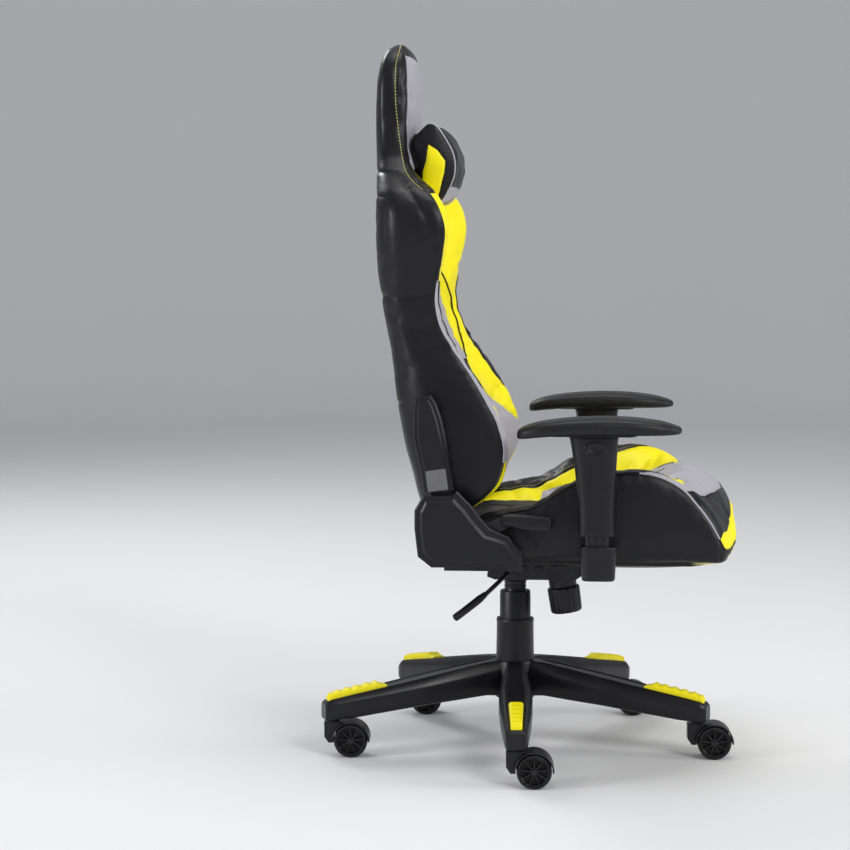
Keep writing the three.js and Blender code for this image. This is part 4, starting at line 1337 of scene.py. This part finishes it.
def inset(outline, distance):
    """A closed [x, z] outline moved inwards; distance is one number or one for each edge."""
    outline = np.asarray(outline, float)
    n = len(outline)
    distance = np.broadcast_to(distance, n)
    x, z = outline.T
    turn = 1 if np.sum(x * np.roll(z, -1) - np.roll(x, -1) * z) > 0 else -1
    normals = []
    for i in range(n):
        direction = outline[(i + 1) % n] - outline[i]
        normals.append(turn * np.array([-direction[1], direction[0]]) / np.linalg.norm(direction))
    moved = []
    for i in range(n):
        before, after = normals[i - 1], normals[i]
        moved.append(outline[i] + (before * distance[i - 1] + after * distance[i]) / (1 + before @ after))
    return np.array(moved)


def shell_part(outline, layers, side, thickness=2.4):
    """A hollow moulded cover: rings of (inset, distance out), closed over the outer face."""
    rings = []
    for distance, out in layers:
        ring = inset(outline, distance) if np.any(distance) else np.asarray(outline, float)
        rings.append(np.stack([ring[:, 0], np.full(len(ring), side * out), ring[:, 1]], 1))
    within = [inset(outline, thickness) if not np.any(layers[0][0]) else inset(outline,
                                                                               layers[0][0] + thickness)]
    inner = [np.stack([ring[:, 0], np.full(len(ring), side * out), ring[:, 1]], 1)
             for ring, out in ((within[0], layers[-1][1] - thickness), (within[0], layers[0][1]))]
    n = len(outline)
    points = np.concatenate(rings + inner)
    faces = []
    for r in range(len(rings) - 1):
        faces += quads(r * n, (r + 1) * n, n)
    last, deep, rim = (len(rings) - 1) * n, len(rings) * n, (len(rings) + 1) * n
    faces.append([last + i for i in range(n)])
    faces.append([deep + i for i in range(n)][::-1])
    faces += quads(deep, rim, n) + quads(rim, 0, n)
    return points, faces


def hinge_covers(word, side):
    """The two moulded covers over the recliner, with wide chamfers, screws and a grey plate."""
    wide = 18
    chamfers = [15, 2, 9, wide, wide, wide, wide, 7, 10, 14, 14, 14, 15]
    layers = [(0, LOWER_FACE - 9.2), (0, LOWER_FACE - 8.2), (np.array(chamfers), LOWER_FACE)]
    piece(f"hinge_cover_lower_{word}_shell", [shell_part(LOWER_COVER, layers, side)], 20, "seat",
          "cover_plastic", [f"hinge_cover_lower_{word}"], edges=(0.9, 3, 14))
    # The screw takes the tread plastic, darker than the cover's, so that it reads as a shaded sunk hole:
    # painted shade.
    piece(f"hinge_cover_lower_{word}_screw", [bolt_part(-106, 415, LOWER_FACE - 0.8, side, 5.2)], 30,
          "seat", "castor_tread")

    chamfers = [10, 10, 10, 10, 9, 1, 9, 10, 10, 9, 9]
    layers = [(0, UPPER_FACE - 13.9), (0, UPPER_FACE - 9.4), (np.array(chamfers), UPPER_FACE)]
    piece(f"hinge_cover_upper_{word}_shell", [shell_part(UPPER_COVER, layers, side)], 20, "back",
          "cover_plastic", [f"hinge_cover_upper_{word}"], edges=(0.8, 3, 14))
    rear_lip = [[-163.2, 590], [-158, 588], [-147, 534], [-141, 497], [-145, 494], [-151.4, 532]]
    piece(f"hinge_cover_upper_{word}_lip", [plate_part(rear_lip, side * 259.5, side * 277)], 20, "back",
          "cover_plastic")
    # As below, the screw's darker tread plastic paints the shade of a sunk hole: painted shade.
    piece(f"hinge_cover_upper_{word}_screw", [bolt_part(-136, 593, UPPER_FACE - 0.8, side, 5.2)], 30,
          "back", "castor_tread")
    plate = rounded([[-142, 531], [-108, 536], [-103, 500], [-137.5, 495.5]], 2.2)
    layers = [(0, 288), (0, 290.5), (0.6, 291.0)]
    piece(f"hinge_plate_badge_{word}", [shell_part(plate, layers, side, 0.6)], 30, "back", "grey_plastic")


def recline_lever():
    """The recline lever: a flat arm on the shaft and a moulded handle with a round end."""
    arm = rounded([[-82, 398], [-60, 395], [-4, 434], [4, 438], [4, 452], [-14, 452], [-60, 432],
                   [-82, 424]], 3)
    piece("recline_lever_arm", [plate_part(arm, -278.2, -282.8)], 30, "recline_lever", "dark_steel",
          ["recline_lever"], edges=(0.6, 2, 40))
    rings = []
    for t in np.linspace(0, 1, 44):
        x = mix(-13, 74, t)
        low = np.interp(x, [-13, 5, 20, 50, 66, 74], [437, 436, 431.6, 429, 428.4, 433])
        high = np.interp(x, [-13, 5, 40, 71, 74], [455, 457, 455, 453, 449])
        end = max(0.0, 1 - t / 0.035, (t - 0.955) / 0.045)
        squeeze = 1 - 0.45 * end ** 2
        middle, tall, half = (low + high) / 2, (high - low) / 2 * squeeze, 13.6 * (1 - 0.3 * end ** 2)
        ring = []
        for a in circle(40):
            c, s = cos(a), sin(a)
            ring.append([x, -276 + half * squared(c, 0.45), middle + tall * squared(s, 0.45)])
        rings.append(ring)
    piece("recline_lever_handle", [loft_part(rings)], 42, "recline_lever", "cover_plastic")
    piece("recline_lever_cap", [bolt_part(-4, 446, 289.2, -1, 6.4)], 30, "recline_lever", "cover_plastic")


# ---------------------------------------------------------------- armrests

POST = {"x": 145.7, "y": 300}


def armrest_sleeve(word, side):
    """The tapering sleeve, round-edged and flared under the pad."""
    x0, y0 = POST["x"], side * POST["y"]
    rows = np.array([[425, -26, 33, 19], [427, -27.2, 34.2, 20.2], [480, -28, 34.5, 20.4],
                     [540, -34, 36.5, 20.8],
                     [584, -41, 39, 21.6], [592, -43, 40, 22], [594, -42.4, 39.4, 21.4]], float)
    rings = []
    for z in np.r_[425, 425.6, 427, np.linspace(432, 588, 40), 592, 593.4, 594]:
        _, rear, front, half = [np.interp(z, rows[:, 0], rows[:, k]) for k in range(4)]
        middle, wide = (rear + front) / 2, (front - rear) / 2
        ring = []
        for a in circle(72):
            c, s = cos(a), sin(a)
            ring.append([x0 + middle + wide * squared(c, 0.6), y0 + half * squared(s, 0.85), z])
        rings.append(ring)
    points, faces = loft_part(rings)
    count = 72
    # The bottom is open round the post: its cap gives way to a short inner wall.
    faces = [f for f in faces if len(f) == 4]
    room = [[x0 + 4.5 + 23 * squared(cos(a), 0.3), y0 + 14.6 * squared(sin(a), 0.3), z]
            for z in (425.2, 560) for a in circle(count)]
    top = (len(rings) - 1) * count
    start = len(points)
    points = np.concatenate([points, room])
    faces += quads(0, start, count) + quads(start, start + count, count)
    faces.append([start + count + i for i in range(count)])
    faces.append([top + i for i in range(count)])
    piece(f"armrest_sleeve_{word}_shell", [(points, faces)], 40, f"armrest_sleeve_{word}", "cover_plastic",
          [f"armrest_sleeve_{word}"])


def armrest_button(word, side):
    """The oval height button, dished along its lower edge, in a raised surround."""
    cx, cz = POST["x"] + 1, 575
    profile = [(1.0, 319.2), (1.0, 321.4), (0.96, 322.6), (0.86, 322.9), (0.74, 322.0), (0.4, 320.9),
               (0.01, 320.6)]
    angles = circle(56)
    rings = [[[cx + 16.8 * share * cos(a), side * out, cz + 9.3 * share * sin(a)] for a in angles]
             for share, out in profile]
    piece(f"armrest_button_{word}_cap", [loft_part(rings)], 50, f"armrest_button_{word}", "cover_plastic",
          [f"armrest_button_{word}"], look=LOOK["pad_rubber"])
    rings = [[[cx + wide * cos(a), side * out, cz + tall * sin(a)] for a in angles]
             for wide, tall, out in ((17.4, 9.9, 318.5), (17.4, 9.9, 321.9), (18.4, 10.9, 322.5),
                                     (19.8, 12.3, 321.9),
                                     (20.4, 12.9, 320.6), (20.4, 12.9, 318.5))]
    count = len(angles)
    faces = [face for r in range(6) for face in quads(r * count, (r + 1) % 6 * count, count)]
    surround = object_from(f"armrest_surround_{word}", np.concatenate(rings), faces, 50)
    finish_piece(surround, f"armrest_sleeve_{word}", "cover_plastic", LOOK["cover_plastic"])


PAD_ROWS = np.array([  # distance forward, underside, top, half width
    [14.5, 592, 600, 12], [16, 590.5, 604, 20], [24, 590.5, 609, 31], [45, 593, 616, 41],
    [80, 596, 622, 46],
    [130, 597.5, 626.3, 47.5], [180, 597.8, 627, 47.5], [230, 598, 623.5, 46], [265, 598.4, 618, 39],
    [283, 599.4, 612.5, 28],
    [290, 601, 609.5, 16], [291.4, 603, 607.5, 10],
], float)


def armrest_pad(word, side):
    """The soft pad: a crowned top that rolls over rounded edges, on a flat plinth."""
    rows = evenly(PAD_ROWS, 72)
    rings = []
    for x, low, top, half in rows:
        tall = top - low
        line = [[0, low], [half * 0.72, low], [half * 0.9, low + 0.06 * tall],
                [half * 0.975, low + 0.2 * tall],
                [half, low + 0.42 * tall], [half * 0.985, low + 0.62 * tall],
                [half * 0.93, low + 0.8 * tall],
                [half * 0.8, low + 0.925 * tall], [half * 0.5, low + 0.985 * tall], [0, top]]
        line = evenly(np.array(line), 22)
        ring = np.concatenate([line, line[1:-1][::-1] * [-1, 1]])
        rings.append([[x, side * POST["y"] + y, z] for y, z in ring])
    pad = piece(f"armrest_pad_{word}_top", [loft_part(rings)], 70, f"armrest_pad_{word}", "pad_rubber",
                [f"armrest_pad_{word}"])
    outline = rounded([[73, -27], [209, -27], [216, -14], [216, 14], [209, 27], [73, 27], [66, 14],
                       [66, -14]], 8)
    rings = [[[x, side * POST["y"] + y, z] for x, y in outline] for z in (594.4, 600)]
    piece(f"armrest_pad_{word}_plinth", [loft_part(rings)], 30, f"armrest_pad_{word}", "cover_plastic",
          edges=(0.8, 2, 40))
    seam = evenly(PAD_ROWS[1:-1], 60)
    route = [[x, side * POST["y"] + s * half * 1.0, low + 0.42 * (top - low)] for s in (-1, 1)
             for x, low, top, half in (seam if s < 0 else seam[::-1])]
    piece(f"armrest_pad_{word}_seam", [tube_part(route, 0.55, 6, closed=True)], 60, f"armrest_pad_{word}",
          "pad_rubber")


def armrest_bracket(word, side):
    """The bracket bar, the cup with its flared rim and the ribbed post."""
    x0, y0 = POST["x"], side * POST["y"]
    rows = [(349, 0.88), (349.8, 0.91), (352, 0.93), (356, 0.94), (380, 0.97), (400, 1.0), (404, 1.02),
            (406.2, 1.02), (407, 1.0)]
    rings = []
    for z, share in rows:
        ring = []
        for a in circle(64):
            c, s = cos(a), sin(a)
            ring.append([x0 + 7 + 30.4 * share * squared(c, 0.5), y0 + 21 * share * squared(s, 0.7), z])
        rings.append(ring)
    piece(f"armrest_cup_{word}", [loft_part(rings)], 40, "seat", "cover_plastic",
          [f"armrest_bracket_{word}"])
    bar = [[x0 - 23, 357], [x0 + 23, 357], [x0 + 23, 362.4], [x0 - 23, 362.4]]
    piece(f"armrest_bar_{word}", [plate_part(bar, side * 60, side * 290)], 30, "seat", "dark_steel",
          edges=(0.6, 2, 40))
    core = rounded([[-15.5, -10.5], [24.5, -10.5], [24.5, 10.5], [-15.5, 10.5]], 3)
    posts = [loft_part([[[x0 + x, y0 + y, z] for x, y in core] for z in (400, 565)])]
    for x in (-11, -2, 11, 20):
        rib = rounded([[x - 2.6, -12], [x + 2.6, -12], [x + 2.6, 12], [x - 2.6, 12]], 1.6)
        posts.append(loft_part([[[x0 + px, y0 + py, z] for px, py in rib] for z in (400, 564)]))
    piece(f"armrest_post_{word}", posts, 50, "seat", "dark_steel")


# ---------------------------------------------------------------- head pillow

# A section across the pillow, as (forward, height), at the side seams and at the middle.
PILLOW_SIDE = np.array([
    [-180, 1097], [-164, 1115], [-148, 1127], [-138, 1125], [-127, 1114], [-113, 1092], [-103, 1070],
    [-103, 1036],
    [-113, 1010], [-129, 987], [-142, 984], [-156, 1000], [-167, 1030], [-176, 1064],
], float)
PILLOW_MIDDLE = np.array([
    [-169, 1086], [-160, 1098], [-148, 1107], [-137, 1108], [-125, 1101], [-111, 1084], [-101, 1064],
    [-99, 1036],
    [-104, 1014], [-116, 998], [-134, 992], [-152, 1001], [-163, 1026], [-168, 1056],
], float)
PILLOW_HALF = 129.0
KITE = np.array([[-149, 1089], [-133, 1079], [-119, 1060], [-121, 1041], [-129, 1010], [-134, 990],
                 [-147, 1003],
                 [-160, 1022], [-159, 1041], [-153, 1060]], float)


def closed_evenly(points, count):
    """count points evenly spaced round the smooth closed curve through points."""
    loop = np.concatenate([points[-3:], points, points[:4]])
    knots = lengths(loop)
    dense = curve_through(loop, np.linspace(knots[3], knots[3 + len(points)], 60 * len(points)))
    run = lengths(dense)
    want = np.linspace(0, run[-1], count, endpoint=False)
    return np.stack([np.interp(want, run, dense[:, k]) for k in range(2)], 1)


def inside_kite(points, x, z):
    """Signed distance into a closed [x, z] outline: positive inside."""
    best, crossings = np.full(np.shape(x), 1e9), np.zeros(np.shape(x), int)
    for a, b in zip(points, np.roll(points, -1, 0)):
        edge = b - a
        t = np.clip(((x - a[0]) * edge[0] + (z - a[1]) * edge[1]) / (edge @ edge), 0, 1)
        best = np.minimum(best, np.hypot(x - a[0] - t * edge[0], z - a[1] - t * edge[1]))
        hit = ((a[1] > z) != (b[1] > z)) & (x < (b[0] - a[0]) * (z - a[1]) / (b[1] - a[1] + 1e-9) + a[0])
        crossings += hit
    return np.where(crossings % 2 == 1, best, -best)


def head_pillow():
    """The bow-shaped head pillow: two full ends, a pinched middle and a kite let into each end."""
    count = 96
    side_ring, middle_ring = closed_evenly(PILLOW_SIDE, count), closed_evenly(PILLOW_MIDDLE, count)
    caps = np.r_[np.linspace(0.03, 0.87, 22), 0.91, 0.95, 0.98]
    centre = side_ring.mean(0)
    rings, along = [], []
    for share in caps:
        ring = centre + (side_ring - centre) * share
        rings.append((ring, -PILLOW_HALF - 7 * (1 - share ** 2.4)))
        along.append(-2 + share)
    for y in np.linspace(-PILLOW_HALF, PILLOW_HALF, 47):
        blend = 0.5 - 0.5 * cos(pi * min(1, abs(y) / 105))
        rings.append((mix(middle_ring, side_ring, blend), y))
        along.append(y / PILLOW_HALF)
    for share in caps[::-1]:
        ring = centre + (side_ring - centre) * share
        rings.append((ring, PILLOW_HALF + 7 * (1 - share ** 2.4)))
        along.append(2 - share)
    points = np.array([np.stack([ring[:, 0], np.full(count, y), ring[:, 1]], 1) for ring, y in rings])
    along = np.array(along)[:, None].repeat(count, 1)
    q = np.tile(np.arange(count, dtype=float), (len(points), 1))
    pillow = Cushion("head_pillow_cover", points, along, q, capped=False)
    pinned = np.where(np.abs(np.abs(along) - 1) < 0.01, 1.0, 0.0)
    pinned[np.abs(along) > 1.01] = 0.5
    pillow.simulate(pinned, 3.0, 6.0, 0.7)
    x, z = pillow.points[..., 0], pillow.points[..., 2]
    lines = {
        "end_right": lambda t, _: t + 1.0,
        "end_left": lambda t, _: t - 1.0,
        "kite": lambda t, _: np.where(np.abs(t) > 1, inside_kite(KITE, x, z), -20.0),
        "foot": lambda t, _: np.where(x > -140, 1012 + 5 * np.abs(t) - z, -20.0),
    }

    def colour(at):
        if abs(at["along"]) > 1:
            return "yellow_leather" if at["kite"] > 0 else "black_leather"
        return "light_leather" if at["foot"] > 0 else "black_leather"

    def pick(layers, bm):
        def line(key, low=-3, high=3):
            return [v for v in bm.verts if v[layers[key]] == 0.0 and low < v[layers["along"]] < high]
        return [(line("end_right"), 2.2, 3.6), (line("end_left"), 2.2, 3.6), (line("kite"), 1.0, 2.4),
                (line("foot", -0.99, 0.99), 1.4, 3.0)]
    pillow.build(lines, colour, ["black_leather", "yellow_leather", "light_leather"], pick, 2.4,
                 "head_pillow", "black_leather", "head_pillow", 0.8)
    for word, side in SIDES.items():
        seam = side_ring[4:66]
        route = np.stack([seam[:, 0], np.full(len(seam), side * PILLOW_HALF), seam[:, 1]], 1)
        path, _ = pillow.on_surface(route, 0.5)
        piece(f"head_pillow_piping_{word}", [tube_part(path, 1.35, 8)], 35, "head_pillow", "light_leather")


# ---------------------------------------------------------------- stage, light and camera

CAMERA = {"lens": 102.7, "forward": 0.176, "away": 4.3849, "height": 0.9612, "down": 4.883, "turn": 4.451}
FLOOR, WALL_BEND, WALL_TOP = 7000, 2500, 7000   # the floor's radius, its curve up and the wall's height


def stage():
    """A pale floor that curves up into a wall all round, soft lights and the camera."""
    profile = [[0.001, 0]] + [[r, 0] for r in (1500, 4000, FLOOR)]
    profile += [[FLOOR + WALL_BEND * sin(a), WALL_BEND * (1 - cos(a))] for a in np.linspace(0.15, pi / 2,
                                                                                            12)]
    profile += [[FLOOR + WALL_BEND, WALL_TOP]]
    points, faces = lathe_part(profile, 96, closed=False)
    floor = object_from("studio_floor", points, faces)
    paint = Nodes("studio paint", (0.78, 0.78, 0.79), 0.85, specular=0.15)
    paint.tint(paint.noise(1.5, 2), (0.74, 0.74, 0.75), (0.76, 0.76, 0.77))
    floor.data.materials.append(paint.material)

    world = bpy.data.worlds.new("studio")
    world.use_nodes = True
    world.node_tree.nodes["Background"].inputs[0].default_value = (0.95, 0.97, 1.0, 1)
    world.node_tree.nodes["Background"].inputs[1].default_value = 0.42
    bpy.context.scene.world = world

    aim = Vector((0, 0, 0.6))   # metres; each light is (name, place, size, watts)
    for name, where, size, power in [
        ("key", (2.4, -3.6, 3.2), 1.8, 90), ("front", (4.4, -0.6, 2.0), 1.8, 60),
        ("rim", (-2.2, 2.8, 3.2), 1.6, 60), ("rear", (-3.8, -2.2, 1.4), 1.2, 70),
        ("top", (0.2, 0.2, 4.8), 2.4, 60),
    ]:
        light = bpy.data.lights.new(name, "AREA")
        light.shape = "DISK"
        light.size = size
        light.energy = power
        lamp = bpy.data.objects.new(name, light)
        lamp.location = where
        lamp.rotation_euler = (aim - Vector(where)).to_track_quat("-Z", "Y").to_euler()
        bpy.context.scene.collection.objects.link(lamp)

    camera = bpy.data.objects.new("camera", bpy.data.cameras.new("camera"))
    camera.data.lens = CAMERA["lens"]
    camera.data.sensor_width = 36
    camera.location = (AXIS[0] + CAMERA["forward"], AXIS[1] - CAMERA["away"], CAMERA["height"])
    camera.rotation_euler = (radians(90 - CAMERA["down"]), 0, radians(CAMERA["turn"]))
    bpy.context.scene.collection.objects.link(camera)
    bpy.context.scene.camera = camera
    bpy.context.scene.view_settings.view_transform = "Standard"


stage()
back_trim(back_cushion())
seat_trim(seat_cushion())
head_pillow()
star_base()
for index in range(ARMS):
    castor(index)
gas_lift()
tension_knob()
release_lever()
recline_lever()
for word, side in SIDES.items():
    hinge_covers(word, side)
    armrest_sleeve(word, side)
    armrest_button(word, side)
    armrest_pad(word, side)
    armrest_bracket(word, side)
refined("tilt_axle", 0.5, LOOK["dark_steel"])
for node, width in {"mechanism_housing": 0.8, "seat_plate": 0.6, "seat_pan": 0.6, "hinge_plate_right": 0.5,
                    "hinge_plate_left": 0.5}.items():
    refined(node, width)
for node, obj in frame["nodes"].items():
    if not obj.hide_render:
        obj.data.materials.clear()
        obj.data.materials.append(LOOK[slot_of(node)])
